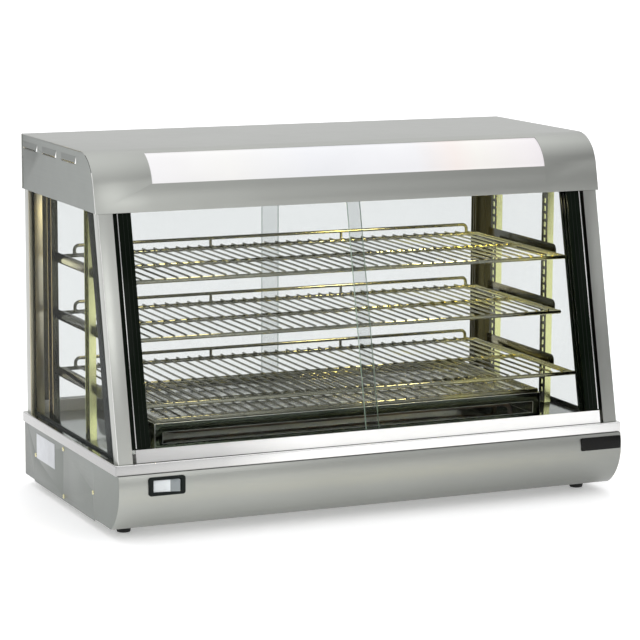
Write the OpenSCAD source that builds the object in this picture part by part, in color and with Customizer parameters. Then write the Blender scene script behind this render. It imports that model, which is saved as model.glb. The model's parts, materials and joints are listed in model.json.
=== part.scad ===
// Countertop hot food display case: a heated base, a glazed cabin with sliding
// doors front and rear, three wire shelves and a lit stainless canopy.
// Frame: X to the right seen from the front, +Y to the rear, +Z up.
// Origin: on the table, at the centre of the whole outline.

/* [Case] */
// Width over the deck rim
case_w = 915; // [760:5:1100]
// Depth over the deck rim
case_d = 480; // [400:5:580]
// Height from the table to the top of the canopy
case_h = 610; // [520:5:730]
// Sheet thickness of panels
sheet = 1.2; // [0.8:0.1:2]
// Gap between neighbouring pieces of the same body
gap = 0.3; // [0.2:0.05:0.6]

/* [Base] */
// Height of the rubber feet
foot_h = 16; // [10:1:40]
// Height of the base casing, from its floor to the deck's top
base_h = 110.5; // [92:0.5:150]
// Height of the deck's rim
rim_h = 16.5; // [12:0.5:24]
// Inset of the base casing under the rim
base_inset = 3; // [2:0.5:6]
// Radius of the rounded front of the base
fascia_r = 80; // [76:1:95]
// How far the rounded front stands out past the rim
fascia_bulge = 8; // [4:0.5:12]
// Distance from the rim's front to the seam in the base's side
seam_back = 112; // [90:1:150]
// Inset of the feet from the rim's side
foot_side = 41; // [30:1:80]
// Inset of the front feet from the rim's front
foot_front = 79; // [70:1:120]
// Inset of the rear feet from the rim's rear
foot_rear = 60; // [40:1:120]

/* [Cabin] */
// Height of the canopy's sides
canopy_h = 94.5; // [80:0.5:130]
// Radius of the canopy's front edge
canopy_r = 65; // [40:1:75]
// How far the front glass leans back over its height
front_lean = 87.7; // [50:0.1:110]
// Inset of the canopy's sides from the rim's side
canopy_inset = 2; // [1:0.5:6]
// Width of the corner posts
post_w = 25; // [20:1:40]
// Depth of the front posts
post_d = 21; // [15:1:30]
// Depth of the rear posts and of the rear door tracks
rear_d = 19.5; // [18:0.5:30]
// Thickness of the glass
glass_t = 4; // [3:0.5:5]
// Height of the lower door tracks
track_h = 22; // [18:1:35]
// Overlap of two closed sliding doors
door_lap = 28; // [20:1:60]

/* [Shelves] */
// Height of the lowest shelf over the deck
shelf_first = 78.5; // [70:0.5:100]
// Pitch of the slots in the uprights
slot_pitch = 14; // [12:1:20]
// Slots between two shelves
slots_between = 7; // [5:1:8]
// Half the width of a shelf
shelf_side = 57; // [52:1:80]
// Rod diameter of the shelf frame
rod_d = 7; // [4:0.5:8]
// Wire diameter of the shelf
wire_d = 3.6; // [2:0.2:4.4]
// Greatest pitch of the shelf wires
wire_pitch = 21; // [18:1:40]
// Height of the shelves' back rail
rail_h = 18; // [14:1:30]

/* [Controls] */
// Length and height of a switch's frame
switch_w = 62; // [58:1:70]
switch_h = 30; // [28:1:34]
// Inset of the front switch's centre from the rim's side
switch_side = 83.5; // [60:0.5:150]
// Tilt of a rocker either side of the middle
rocker_tilt = 8; // [6:1:10]
// Radius of the thermostat knob
knob_r = 21; // [15:1:26]
// Length of the thermostat knob
knob_len = 19; // [12:1:24]

/* [Hidden] */

steel = [0.72, 0.73, 0.71];
polished = [0.80, 0.79, 0.72];
black = [0.07, 0.08, 0.08];
glass = [0.80, 0.88, 0.87, 0.35];
big = 2000;

// A switch's moving rocker: half length, its hollow face's ends and crease over the pivot, pin
rocker_half = 22;
rocker_end = 5.5;
rocker_mid = 4;
rocker_crease = 6;
rocker_face_h = 20;
rocker_pin_r = 1.5;
pin_clear = 0.05;
rocker_reach = rocker_half * sin(rocker_tilt) + rocker_end * cos(rocker_tilt);
switch_proud = 2.5;
switch_reach = 5;
knob_gap = 1;
knob_reach = knob_len + knob_gap - base_inset;

// Outline front to rear: rocker, rounded front, deck rim, knob
depth_all = switch_reach + fascia_bulge + case_d + knob_reach;
y_min = -depth_all / 2;
bulge_y = y_min + switch_reach;
rim_y0 = bulge_y + fascia_bulge;
rim_y1 = rim_y0 + case_d;
rim_z = foot_h + base_h;
lip_z = rim_z - rim_h;
side_x = case_w / 2 - base_inset;
rear_y = rim_y1 - base_inset;
seam_y = rim_y0 + seam_back;
canopy_z = case_h - canopy_h;
canopy_x = case_w / 2 - canopy_inset;

// The rounded front is part of a cylinder along X
fascia_cy = bulge_y + fascia_r;
fascia_cz = foot_h + 70;
fascia_top = lip_z - gap;

// The leaning front plane
lean_y = rim_y0 + 3;
lean_deg = atan2(front_lean, canopy_z - rim_z);
lean_len = (canopy_z - rim_z) / cos(lean_deg);
function plane_y(z) = lean_y + (z - rim_z) * tan(lean_deg);

// Canopy front edge: an arc that runs into the leaning plane
arc_cz = case_h - canopy_r;
arc_cy = plane_y(arc_cz) + canopy_r / cos(lean_deg);
arc_end = 90 - lean_deg;
canopy_rear = rim_y1 - 7;

// Posts, doors and tracks
post_x = canopy_x - 4.5;
post_in = post_x - post_w;
post_y = sheet + gap;
post_top = canopy_z + 15;
channel_w = 29;
channel_d = 28;
channel_y = 3;
channel_x1 = post_in - 2;
channel_x0 = channel_x1 - channel_w;
groove_w = glass_t + 1;
groove_deep = 10;
pane_front_y = channel_y + 6;
pane_rear_y = pane_front_y + glass_t + 6;
door_floor = 10;
pane_foot = 1;
pane_top = lean_len + 20;
upper_low = lean_len + 7;
upper_high = lean_len + 27;
pane_edge = channel_x0 + groove_deep - 2;
track_x = post_in - 6;

rear_y1 = canopy_rear - sheet - gap;
rear_y0 = rear_y1 - rear_d;
rear_channel_w = 20;
rear_groove = 8;
rear_pane_x = post_in - rear_channel_w + rear_groove - 1 - gap;
rear_pane_in = rear_y0 + 3.4;
rear_pane_out = rear_y1 - 3.4 - glass_t;
rear_track_x = post_in - gap;
rear_floor = 8;
rear_top = canopy_z + 15;

// Side glass and its black seal
side_glass_x = canopy_x - 10.5;
seal_t = 3.1;
seal_w = 44;

// Slotted uprights and shelf brackets
upright_w = 12;
upright_d = 22;
upright_t = 1.5;
upright_x = side_glass_x - seal_t - 11.9;
upright_front = rim_y0 + 201;
upright_rear = rim_y1 - 86;
slot_w = 6;
slot_h = 8;
slot_count = floor((canopy_z - rim_z - 30) / slot_pitch);
bracket_t = 1.5;
bracket_h = 17;
bracket_x = upright_x - upright_w - gap;
ledge_w = 24;
bracket_y0 = rim_y0 + 168;
bracket_y1 = upright_rear + upright_d + 6;

// Shelves: half width, height, and how far each front edge stands behind the leaning plane
shelf_x = case_w / 2 - shelf_side;
function shelf_z(i) = rim_z + shelf_first + i * slots_between * slot_pitch;
shelf_rear = rim_y1 - 44;
shelf_insets = [39.302, 71.208, 33.115];
shelf_fronts = [for (i = [0:2]) plane_y(shelf_z(i)) + shelf_insets[i]];
wire_rise = (rod_d + wire_d) / 2 - 0.8;

// Heater cover, elements and the grid on top of it
cover_x = upright_x - upright_w - 64;
cover_y0 = rim_y0 + 100;
cover_y1 = rim_y1 - 90;
cover_z = rim_z + 41;
cover_band = 15;
element_r = 4;
element_z = rim_z + 17;
element_leg_x = cover_x - 36;

// Ceiling liner
liner_x = side_glass_x - 7.5;
liner_z = canopy_z + 1;
liner_y0 = plane_y(liner_z) + (channel_y + channel_d + 3) / cos(lean_deg);
liner_y1 = rear_y0 - gap;
lamp_x = case_w / 2 - 207.5;
lamp_y = liner_y0 + 38;
lamp_z = canopy_z + 48;

// Rear controls
knob_x = case_w / 2 - 157.5;
knob_z = foot_h + 48;
rear_switch_x = knob_x - 85;
pilot_x = rear_switch_x - 55;
gland_x = 62.5 - case_w / 2;

// ---------- helpers ----------

// Children stand on the leaning front plane: +Z up the slope, +Y into the cabin
module on_slope() translate([0, lean_y, rim_z]) rotate([-lean_deg, 0, 0]) children();

// A box from its two corners
module box(a, b) translate(a) cube(b - a);

// A profile drawn in (y, z), extruded along X from x0 to x1
module along_x(x0, x1) translate([x0, 0, 0]) rotate([90, 0, 90]) linear_extrude(x1 - x0) children();

// Keeps only what lies between two heights
module keep_z(z0, z1) intersection() {
  children();
  box([-big, -big, z0], [big, big, z1]);
}

// Points of an arc, a0 to a1 in degrees, seen in (y, z)
function arc(cy, cz, r, a0, a1, n) =
  [for (i = [0:n]) let (a = a0 + (a1 - a0) * i / n) [cy + r * cos(a), cz + r * sin(a)]];

function reverse(v) = [for (i = [len(v) - 1:-1:0]) v[i]];

// Rounded plate in XZ, standing on the XZ plane, t thick towards +Y
module plate_xz(w, h, t, r) rotate([90, 0, 0]) translate([0, 0, -t]) linear_extrude(t) {
  square([w - 2 * r, h], center = true);
  square([w, h - 2 * r], center = true);
  for (x = [-1, 1], z = [-1, 1]) translate([x * (w / 2 - r), z * (h / 2 - r)]) circle(r, $fn = 12);
}

// ---------- base ----------

module base_pan() color(steel) {
  x = side_x - sheet - gap;
  y0 = rim_y0 + 62;
  y1 = rear_y - sheet - gap;
  difference() {
    union() {
      box([-x, y0, foot_h], [x, y1, foot_h + sheet]);
      for (s = [-1, 1])
        box([s > 0 ? x - sheet : -x, seam_y, foot_h], [s > 0 ? x : -x + sheet, y1, foot_h + 12]);
      box([-x, y1 - sheet, foot_h], [x, y1, foot_h + 12]);
    }
    for (sx = [-1, 1], i = [-4:4])
      box([sx * 200 - 60, i * 14 - 2, 0], [sx * 200 + 60, i * 14 + 2, foot_h + 5]);
    at_feet() cylinder(h = foot_h + 5, r = 3.3, $fn = 32);
    for (s = [-1, 1]) at_side_screws(s) cylinder(h = 20, r = 2.2, center = true, $fn = 24);
  }
}

function fascia_arc(r, z1, z0, n) =
  arc(fascia_cy, fascia_cz, r, 180 - asin((z1 - fascia_cz) / r), 180 + asin((fascia_cz - z0) / r), n);

module fascia() color(steel) difference() {
  union() {
    along_x(-side_x + sheet, side_x - sheet) polygon(concat(
      fascia_arc(fascia_r, fascia_top, foot_h, 24),
      [[rim_y0 + 60, foot_h], [rim_y0 + 60, foot_h + sheet]],
      reverse(fascia_arc(fascia_r - sheet, fascia_top - sheet, foot_h + sheet, 24)),
      [[rim_y0 + 18, fascia_top - sheet], [rim_y0 + 18, fascia_top]]));
    for (s = [-1, 1]) along_x(s > 0 ? side_x - sheet : -side_x, s > 0 ? side_x : -side_x + sheet)
      polygon(concat(fascia_arc(fascia_r, fascia_top, foot_h, 24),
        [[seam_y - gap / 2, foot_h], [seam_y - gap / 2, fascia_top]]));
  }
  translate([switch_cx(), bulge_y + 20, switch_cz()]) cube([56, 60, 25], center = true);
}

module side_panel(s) color(steel) {
  notch_y = rear_y - 51;
  difference() {
    along_x(s > 0 ? side_x - sheet : -side_x, s > 0 ? side_x : -side_x + sheet) polygon([
      [seam_y + gap / 2, foot_h - 3], [notch_y, foot_h - 3], [notch_y, foot_h],
      [rear_y, foot_h], [rear_y, rim_z - sheet - gap], [rim_y0 + 130, rim_z - sheet - gap],
      [rim_y0 + 130, fascia_top], [seam_y + gap / 2, fascia_top]]);
    at_side_screws(s) cylinder(h = 20, r = 2.2, center = true, $fn = 24);
  }
}

module rear_panel() color(steel) difference() {
  x = side_x - sheet - gap;
  box([-x, rear_y - sheet, foot_h], [x, rear_y, rim_z - sheet - gap]);
  translate([knob_x, rear_y, knob_z]) rotate([90, 0, 0])
    cylinder(h = 20, r = 7.3, center = true, $fn = 32);
  translate([rear_switch_x, rear_y, knob_z]) cube([56, 20, 25], center = true);
  translate([pilot_x, rear_y, knob_z]) rotate([90, 0, 0])
    cylinder(h = 20, r = 5.2, center = true, $fn = 32);
  translate([gland_x, rear_y, knob_z - 12]) rotate([90, 0, 0])
    cylinder(h = 20, r = 8.2, center = true, $fn = 32);
  for (i = [0:11])
    box([-240 + i * 22, rear_y - 10, foot_h + 25], [-236 + i * 22, rear_y + 10, foot_h + 75]);
  at_rear_screws() cylinder(h = 20, r = 2.2, center = true, $fn = 24);
}

module deck_plate() color(steel) difference() {
  union() {
    box([-case_w / 2, rim_y0, rim_z - sheet], [case_w / 2, rim_y1, rim_z]);
    difference() {
      box([-case_w / 2, rim_y0, lip_z], [case_w / 2, rim_y1, rim_z - sheet]);
      box([-case_w / 2 + sheet, rim_y0 + sheet, lip_z - 1], [case_w / 2 - sheet, rim_y1 - sheet, rim_z]);
    }
  }
  at_element_legs() cylinder(h = 60, r = element_r + 0.6, center = true, $fn = 32);
}

module at_feet() for (x = [-1, 1], y = [rim_y0 + foot_front, rim_y1 - foot_rear])
  translate([x * (case_w / 2 - foot_side), y, 0]) children();

module feet() color(black) at_feet() difference() {
  cylinder(h = foot_h - gap / 10, r1 = 11, r2 = 13.5, $fn = 48);
  cylinder(h = 3 * foot_h, r = 3.2, center = true, $fn = 32);
  translate([0, 0, -1]) cylinder(h = foot_h / 2 + 1, r = 7, $fn = 32);
}

module foot_screws() color(polished) at_feet() {
  translate([0, 0, foot_h / 2 - 3.2]) cylinder(h = 3.1, r = 5.5, $fn = 32);
  translate([0, 0, foot_h / 2 - 1]) cylinder(h = foot_h / 2 + 9, r = 3, $fn = 32);
}

module at_side_screws(s) for (p = [
    [rear_y - 209, foot_h + 85], [rear_y - 60, foot_h + 45], [rear_y - 209, foot_h + 4], [seam_y + 6, foot_h + 43]])
  translate([s * side_x, p[0], p[1]]) rotate([0, s * 90, 0]) children();

module at_rear_screws() for (x = [-1, 1], z = [foot_h + 20, rim_z - 20])
  translate([x * (side_x - 12), rear_y, z]) rotate([-90, 0, 0]) children();

module case_screws() color(polished) {
  for (s = [-1, 1]) at_side_screws(s) screw();
  at_rear_screws() screw();
}

// Pan-head screw, its head's underside on z = 0, its shank downwards
module screw() {
  translate([0, 0, gap / 10]) cylinder(h = 1.4, r1 = 3.9, r2 = 3.2, $fn = 32);
  translate([0, 0, -5]) cylinder(h = 5.5, r = 2, $fn = 24);
}

module rating_label() color("white")
  box([-side_x - 0.4, rear_y - 164, foot_h + 41], [-side_x - gap / 10, rear_y - 66, foot_h + 84]);

module nameplate() color(black) difference() {
  translate([case_w / 2 - 43, bulge_y - 1.2, foot_h + 78]) plate_xz(76, 22, 20, 2);
  translate([0, fascia_cy, fascia_cz]) rotate([0, 90, 0])
    cylinder(h = big, r = fascia_r + gap / 10, center = true, $fn = 128);
  box([-big, bulge_y + 6, -big], [big, big, big]);
}

// ---------- controls ----------

function switch_cx() = -case_w / 2 + switch_side;
function switch_cz() = foot_h + 74;

// Rocker pivots about Z through the origin and stands out towards -Y, its right end raised
module rocker() rotate([0, 0, -rocker_tilt]) {
  translate([0, 0, -rocker_face_h / 2]) linear_extrude(rocker_face_h) polygon([
    [-rocker_half, -rocker_end], [rocker_crease, -rocker_mid], [rocker_half, -rocker_end],
    [rocker_half - 2, 3], [-rocker_half + 2, 3]]);
  cylinder(h = rocker_face_h + 1.8, r = rocker_pin_r, center = true, $fn = 32);
}

// Frame and box round the rocker; its flange's face lies reach in front of the pivot
module switch_housing(flange_y, back_y) difference() {
  union() {
    translate([0, flange_y, 0]) plate_xz(switch_w, switch_h, back_y - flange_y, 4);
    box([-27, flange_y + 1, -11.75], [27, 22, 11.75]);
  }
  box([-23.2, -30, -10.4], [23.2, 14, 10.4]);
  cylinder(h = rocker_face_h + 2.4, r = rocker_pin_r + pin_clear, center = true, $fn = 32);
}

front_pivot_y = y_min + rocker_reach;
module front_switch_housing() color(black) difference() {
  translate([switch_cx(), front_pivot_y, switch_cz()])
    switch_housing(bulge_y - switch_proud - front_pivot_y, bulge_y + 6 - front_pivot_y);
  difference() {
    translate([0, fascia_cy, fascia_cz]) rotate([0, 90, 0])
      cylinder(h = big, r = fascia_r + gap / 10, center = true, $fn = 128);
    translate([switch_cx(), 0, switch_cz()]) cube([54, big, 23.5], center = true);
  }
}
module front_switch_rocker() color("white") translate([switch_cx(), front_pivot_y, switch_cz()]) rocker();

rear_pivot_y = rear_y + switch_reach - rocker_reach;
module rear_switch_housing() color(black)
  translate([rear_switch_x, rear_pivot_y, knob_z]) rotate([0, 0, 180])
  switch_housing(rear_pivot_y - rear_y - switch_proud, rear_pivot_y - rear_y - gap / 10);
module rear_switch_rocker() color("white")
  translate([rear_switch_x, rear_pivot_y, knob_z]) rotate([0, 0, 180])
  rocker();

module thermostat_body() color(black) difference() {
  union() {
    translate([knob_x, rear_y - sheet - 17, knob_z]) cube([46, 33, 40], center = true);
    translate([knob_x, rear_y, knob_z]) rotate([90, 0, 0]) cylinder(h = sheet + 3, r = 7, $fn = 32);
  }
  translate([knob_x, rear_y, knob_z]) rotate([90, 0, 0]) cylinder(h = 24, r = 3 + pin_clear, $fn = 32);
}
module thermostat_shaft() color(polished) translate([knob_x, rear_y + 12, knob_z]) rotate([90, 0, 0])
  cylinder(h = 32, r = 3, $fn = 32);
module thermostat_knob() color(black) difference() {
  union() {
    translate([knob_x, rear_y + knob_gap, knob_z]) rotate([-90, 0, 0])
      cylinder(h = 5, r = knob_r, $fn = 64);
    translate([knob_x, rear_y + knob_gap + 4, knob_z]) rotate([-90, 0, 0])
      cylinder(h = knob_len - 4, r1 = knob_r * 0.78, r2 = knob_r * 0.7, $fn = 64);
    box([knob_x - 1.2, rear_y + knob_gap + 3, knob_z + 5],
      [knob_x + 1.2, rear_y + knob_gap + knob_len - 3, knob_z + knob_r - 2]);
  }
  translate([knob_x, rear_y + 12.02, knob_z]) rotate([90, 0, 0]) cylinder(h = 30, r = 3.01, $fn = 32);
}
module pilot_lamp() color("orange") {
  translate([pilot_x, rear_y + gap / 10, knob_z]) rotate([-90, 0, 0])
    cylinder(h = 4, r1 = 7, r2 = 5, $fn = 32);
  translate([pilot_x, rear_y + 1, knob_z]) rotate([90, 0, 0]) cylinder(h = 22, r = 5, $fn = 32);
}
module cable_gland() color(black)
  translate([gland_x, rear_y, knob_z - 12]) rotate([-90, 0, 0]) difference() {
  union() {
    translate([0, 0, gap / 10]) cylinder(h = 5, r = 12, $fn = 6);
    translate([0, 0, 4]) cylinder(h = 9, r1 = 9.5, r2 = 7, $fn = 48);
    translate([0, 0, -12]) cylinder(h = 14, r = 8, $fn = 48);
    translate([0, 0, -sheet - gap / 10 - 5]) cylinder(h = 5, r = 12, $fn = 6);
  }
  cylinder(h = 60, r = 4.5, center = true, $fn = 48);
}
module terminal_block() color("white") difference() {
  box([gland_x - 25, rear_y - 90, foot_h + sheet + gap], [gland_x + 25, rear_y - 65, foot_h + sheet + 20]);
  for (i = [-1:1]) translate([gland_x + i * 15, rear_y - 77.5, foot_h + 6])
    cylinder(h = 60, r = 3, $fn = 24);
}

// ---------- heater ----------

module heater_cover() color(polished) difference() {
  box([-cover_x, cover_y0, rim_z + gap / 10], [cover_x, cover_y1, cover_z]);
  box([-cover_x + sheet, cover_y0 + sheet, rim_z - 1],
      [cover_x - sheet, cover_y1 - sheet, cover_z - sheet]);
  for (y = [cover_y0, cover_y1])
    box([-cover_x + 14, y - 5, rim_z + 7], [cover_x - 14, y + 5, cover_z - cover_band]);
  for (i = [-5:5]) for (k = [0:3])
    box([i * 60 - 22, cover_y0 + 46 + k * 62, cover_z - 5],
      [i * 60 + 22, cover_y0 + 54 + k * 62, cover_z + 5]);
}

element_y = [cover_y0 + 70, cover_y1 - 70];
element_span = 28;
module at_element_legs() for (y = element_y, s = [-1, 1])
  translate([element_leg_x, y + s * element_span, rim_z]) children();

// A U of heating tube lying along X, its two ends going down through the deck
module heating_elements() color([0.35, 0.33, 0.31]) for (y = element_y) {
  for (s = [-1, 1]) translate([0, y + s * element_span, element_z]) {
    translate([-element_leg_x + 30, 0, 0]) rotate([0, 90, 0])
      cylinder(h = 2 * element_leg_x - 45, r = element_r, $fn = 32);
    translate([element_leg_x - 15, 0, -15]) rotate([90, 0, 0]) rotate_extrude(angle = 90, $fn = 64)
      translate([15, 0]) circle(element_r, $fn = 32);
    translate([element_leg_x, 0, -15 - 22]) cylinder(h = 22, r = element_r, $fn = 32);
  }
  translate([-element_leg_x + 30, y, element_z]) rotate([0, 0, 90]) rotate_extrude(angle = 180, $fn = 64)
    translate([element_span, 0]) circle(element_r, $fn = 32);
}

module bottom_grid() color(polished)
  wire_grid(cover_x - 2, cover_y0 + 3, cover_y1 - 2, cover_z + gap / 10 + rod_d / 2, false);

// ---------- glazed cabin ----------

module front_post(s) color(steel) keep_z(rim_z + gap / 10, post_top) on_slope() mirror([s < 0 ? 1 : 0, 0, 0])
  translate([0, 0, -20]) linear_extrude(lean_len + 60) difference() {
    translate([post_in, post_y]) square([post_w, post_d]);
    translate([post_in + sheet, post_y + sheet]) square([post_w - 2 * sheet, post_d]);
  }

module rear_post(s) color(steel) mirror([s < 0 ? 1 : 0, 0, 0]) difference() {
  box([post_in, rear_y0, rim_z + gap / 10], [post_x, rear_y1, post_top]);
  box([post_in + sheet, rear_y0 + sheet, rim_z - 5], [post_x - sheet, rear_y1 - sheet, post_top + 5]);
}

module front_channel(s) color(black) on_slope() mirror([s < 0 ? 1 : 0, 0, 0])
  translate([0, 0, track_h + gap]) linear_extrude(lean_len + 6.5 - track_h) difference() {
    translate([channel_x0, channel_y]) square([channel_w, channel_d]);
    for (y = [pane_front_y, pane_rear_y])
      translate([channel_x0 - 1, y - 0.5]) square([groove_deep + 1, groove_w]);
    translate([channel_x1 - 6, channel_y - 1]) square([7, 4]);
  }

// Cross-section (y, z) of a track with two grooves; lip is the front wall's own height
module track_section(y0, y1, floor_h, wall_h, lip_h, grooves) difference() {
  union() {
    translate([y0, 0]) square([y1 - y0, wall_h]);
    translate([y0, 0]) square([2.5, lip_h]);
  }
  for (y = grooves) translate([y - 0.6, floor_h]) square([glass_t + 1.2, lip_h]);
}

module front_track_lower() color(steel) keep_z(rim_z + gap / 10, canopy_z) on_slope()
  along_x(-track_x, track_x) translate([0, -10])
    track_section(post_y, channel_y + channel_d, door_floor + 10, track_h + 4, track_h + 10,
      [pane_front_y, pane_rear_y]);

module front_track_upper() color(steel) on_slope() along_x(-track_x, track_x)
  translate([0, upper_high]) mirror([0, 1])
    track_section(channel_y, channel_y + channel_d, 3, upper_high - upper_low, upper_high - upper_low,
      [pane_front_y, pane_rear_y]);

module rear_channel(s) color(black) mirror([s < 0 ? 1 : 0, 0, 0]) difference() {
  box([post_in - gap - rear_channel_w, rear_y0, rim_z + track_h], [post_in - gap, rear_y1, canopy_z]);
  for (y = [rear_pane_in, rear_pane_out])
    box([post_in - gap - rear_channel_w - 1, y - 0.5, rim_z],
      [post_in - gap - rear_channel_w + rear_groove, y + glass_t + 0.5, case_h]);
}

module rear_track_lower() color(steel)
  translate([0, 0, rim_z + gap / 10]) along_x(-rear_track_x, rear_track_x)
  track_section(rear_y0, rear_y1, rear_floor, track_h - 1, track_h - 1, [rear_pane_in, rear_pane_out]);

module rear_track_upper() color(steel)
  translate([0, 0, rear_top + 6]) along_x(-rear_track_x, rear_track_x)
  mirror([0, 1]) let (h = rear_top + 6 - canopy_z - gap)
    track_section(rear_y0, rear_y1, 3, h, h, [rear_pane_in, rear_pane_out]);

module front_door(s) color(glass) on_slope() mirror([s < 0 ? 1 : 0, 0, 0])
  translate([0, 0, door_floor + pane_foot]) linear_extrude(pane_top - door_floor - pane_foot)
    translate([-door_lap / 2, s > 0 ? pane_front_y : pane_rear_y])
      square([pane_edge + door_lap / 2, glass_t]);

module rear_door(s) color(glass) mirror([s < 0 ? 1 : 0, 0, 0])
  box([-door_lap / 2, s > 0 ? rear_pane_out : rear_pane_in, rim_z + rear_floor + pane_foot],
      [rear_pane_x, (s > 0 ? rear_pane_out : rear_pane_in) + glass_t, rear_top]);

// Outline (y, z) of a sheet that fills the cabin's side, behind the given depth on the slope
function side_outline(back, rear, z0, z1) = [
  [plane_y(z0) + back / cos(lean_deg), z0], [rear, z0],
  [rear, z1], [plane_y(z1) + back / cos(lean_deg), z1]];

side_back = post_y + post_d + 1;
module side_glass(s) color(glass) mirror([s < 0 ? 1 : 0, 0, 0])
  along_x(side_glass_x, side_glass_x + glass_t)
  polygon(side_outline(side_back, rear_y0 - 1, rim_z + gap, canopy_z + 10));

module side_seal(s) color(black) mirror([s < 0 ? 1 : 0, 0, 0])
  along_x(side_glass_x - seal_t - gap / 10, side_glass_x - gap / 10) difference() {
    polygon(side_outline(side_back, rear_y0 - 1, rim_z + gap / 10, canopy_z - gap));
    polygon(side_outline(side_back + seal_w, rear_y0 - 6, rim_z + 5, canopy_z + gap));
  }

// ---------- uprights, brackets and shelves ----------

module upright(y) difference() {
  box([upright_x - upright_w, y, rim_z + gap / 10], [upright_x, y + upright_d, canopy_z + 0.7]);
  box([upright_x - upright_w + upright_t, y + upright_t, 0],
      [upright_x + 1, y + upright_d - upright_t, case_h]);
  for (i = [0:slot_count - 1]) translate([0, 0, slot_z(i)])
    box([upright_x - upright_w - 1, y + (upright_d - slot_w) / 2, 0],
      [upright_x - upright_w + 3, y + (upright_d + slot_w) / 2, slot_h]);
}
function slot_z(i) = shelf_z(0) - 4 + (i - floor((shelf_first - 18) / slot_pitch)) * slot_pitch;

module uprights(s) color(polished) mirror([s < 0 ? 1 : 0, 0, 0]) {
  upright(upright_front);
  upright(upright_rear);
}

// L-shaped bracket: web beside the uprights, ledge under the shelf, two hooks in the slots
module shelf_brackets(i) color(polished) for (s = [0, 1]) mirror([s, 0, 0]) {
  z0 = shelf_z(i) - rod_d / 2 - bracket_t - gap / 10;
  difference() {
    union() {
      box([bracket_x - bracket_t, bracket_y0, z0], [bracket_x, bracket_y1, z0 + bracket_h]);
      box([bracket_x - ledge_w, bracket_y0, z0], [bracket_x, bracket_y1, z0 + bracket_t]);
    }
    difference() {
      translate([bracket_x, bracket_y0, z0 + bracket_h]) cube([3 * bracket_t, 20, 20], center = true);
      translate([bracket_x, bracket_y0 + 10, z0 + bracket_h - 10]) rotate([0, 90, 0])
        cylinder(h = 20, r = 10, center = true, $fn = 32);
    }
  }
  for (y = [upright_front, upright_rear])
    box([bracket_x - 0.5, y + upright_d / 2 - 1.2, shelf_z(i) - 3],
      [bracket_x + upright_t + 2.5, y + upright_d / 2 + 1.2, shelf_z(i) + 3]);
}

// Eight-sided rods along X, Y and Z; those along X lie on a flat, so no two meet flush
module rod_x(x0, x1, y, z, d) translate([x0, y, z]) rotate([0, 90, 0]) rotate([0, 0, 22.5])
  cylinder(h = x1 - x0, d = d, $fn = 8);
module rod_y(x, y0, y1, z, d) translate([x, y1, z]) rotate([90, 0, 0]) cylinder(h = y1 - y0, d = d, $fn = 8);
module rod_z(x, y, z0, z1, d) translate([x, y, z0]) cylinder(h = z1 - z0, d = d, $fn = 8);

// Rods all round and across the middle, thin wires on top, and a raised rail at the rear
module wire_grid(x, y0, y1, z, rail) {
  n = ceil((2 * x - rod_d) / wire_pitch);
  r = rod_d / 2;
  for (y = [y0 + r, (y0 + y1) / 2, y1 - r]) rod_x(-x, x, y, z, rod_d);
  for (s = [-1, 1]) rod_y(s * (x - r), y0 + 0.4, y1 - 0.4, z, rod_d);
  for (i = [1:n - 1]) rod_y(-x + r + i * (2 * x - rod_d) / n, y0 + 1, y1 - 1, z + wire_rise, wire_d);
  if (rail) {
    end = x - 24.5;
    rod_x(-end - 2.5, end + 2.5, y1 - r, z + rail_h, rod_d - 1);
    for (i = [-1, -1 / 3, 1 / 3, 1]) rod_z(i * end, y1 - r, z, z + rail_h, rod_d - 2);
  }
}

module shelf(i) color(polished) wire_grid(shelf_x, shelf_fronts[i], shelf_rear, shelf_z(i), true);

// ---------- canopy ----------

function canopy_outline(inset, z0) = concat(
  [[canopy_rear - inset, z0], [canopy_rear - inset, case_h - inset]],
  arc(arc_cy, arc_cz, canopy_r - inset, 90, 90 + arc_end, 24),
  [[plane_y(z0) + inset / cos(lean_deg), z0]]);

window_x = 355.5;
window_top = 22;
module canopy_shell() color(steel) difference() {
  along_x(-canopy_x, canopy_x) difference() {
    polygon(canopy_outline(0, canopy_z));
    polygon(canopy_outline(sheet, canopy_z - 5));
  }
  along_x(-window_x, window_x) polygon([[arc_cy, arc_cz],
    [arc_cy - 2 * canopy_r * sin(arc_end), arc_cz + 2 * canopy_r * cos(arc_end)],
    [arc_cy - 2 * canopy_r * sin(window_top), arc_cz + 2 * canopy_r * cos(window_top)]]);
}

louvre_len = 76;
louvre_out = 3.2;
module canopy_end(s) color(steel) mirror([s < 0 ? 1 : 0, 0, 0]) {
  x = canopy_x - 1.3;
  difference() {
    along_x(x - sheet, x) polygon(canopy_outline(sheet + gap, canopy_z));
    for (i = [0:2]) translate([x, louvre_y(i), case_h - 25])
      box([-sheet - 1, 2, 0.6], [1, louvre_len - 2, 3]);
  }
  for (i = [0:2]) translate([x, louvre_y(i), case_h - 25]) difference() {
    rotate([90, 0, 0]) translate([0, 0, -louvre_len]) linear_extrude(louvre_len)
      polygon([[-0.6, 0], [louvre_out, 0], [louvre_out, 2], [0, 13], [-0.6, 13]]);
    rotate([90, 0, 0]) translate([0, 0, -louvre_len + 1.2]) linear_extrude(louvre_len - 2.4)
      polygon([[-2, -1], [louvre_out - 1, -1], [louvre_out - 1, 1.6], [0.3, 6], [-2, 6]]);
  }
}
function louvre_y(i) = canopy_rear - 8 - louvre_len - i * 101;

module ceiling_liner() color(steel) difference() {
  union() {
    box([-liner_x, liner_y0, liner_z], [liner_x, liner_y1, liner_z + sheet]);
    for (s = [-1, 1])
      box([s > 0 ? liner_x - sheet : -liner_x, liner_y0, liner_z],
          [s > 0 ? liner_x : -liner_x + sheet, liner_y1, liner_z + 12]);
  }
  for (s = [-1, 1]) box([s * lamp_x - 90, lamp_y - 24, 0], [s * lamp_x + 90, lamp_y + 24, case_h]);
}

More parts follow.
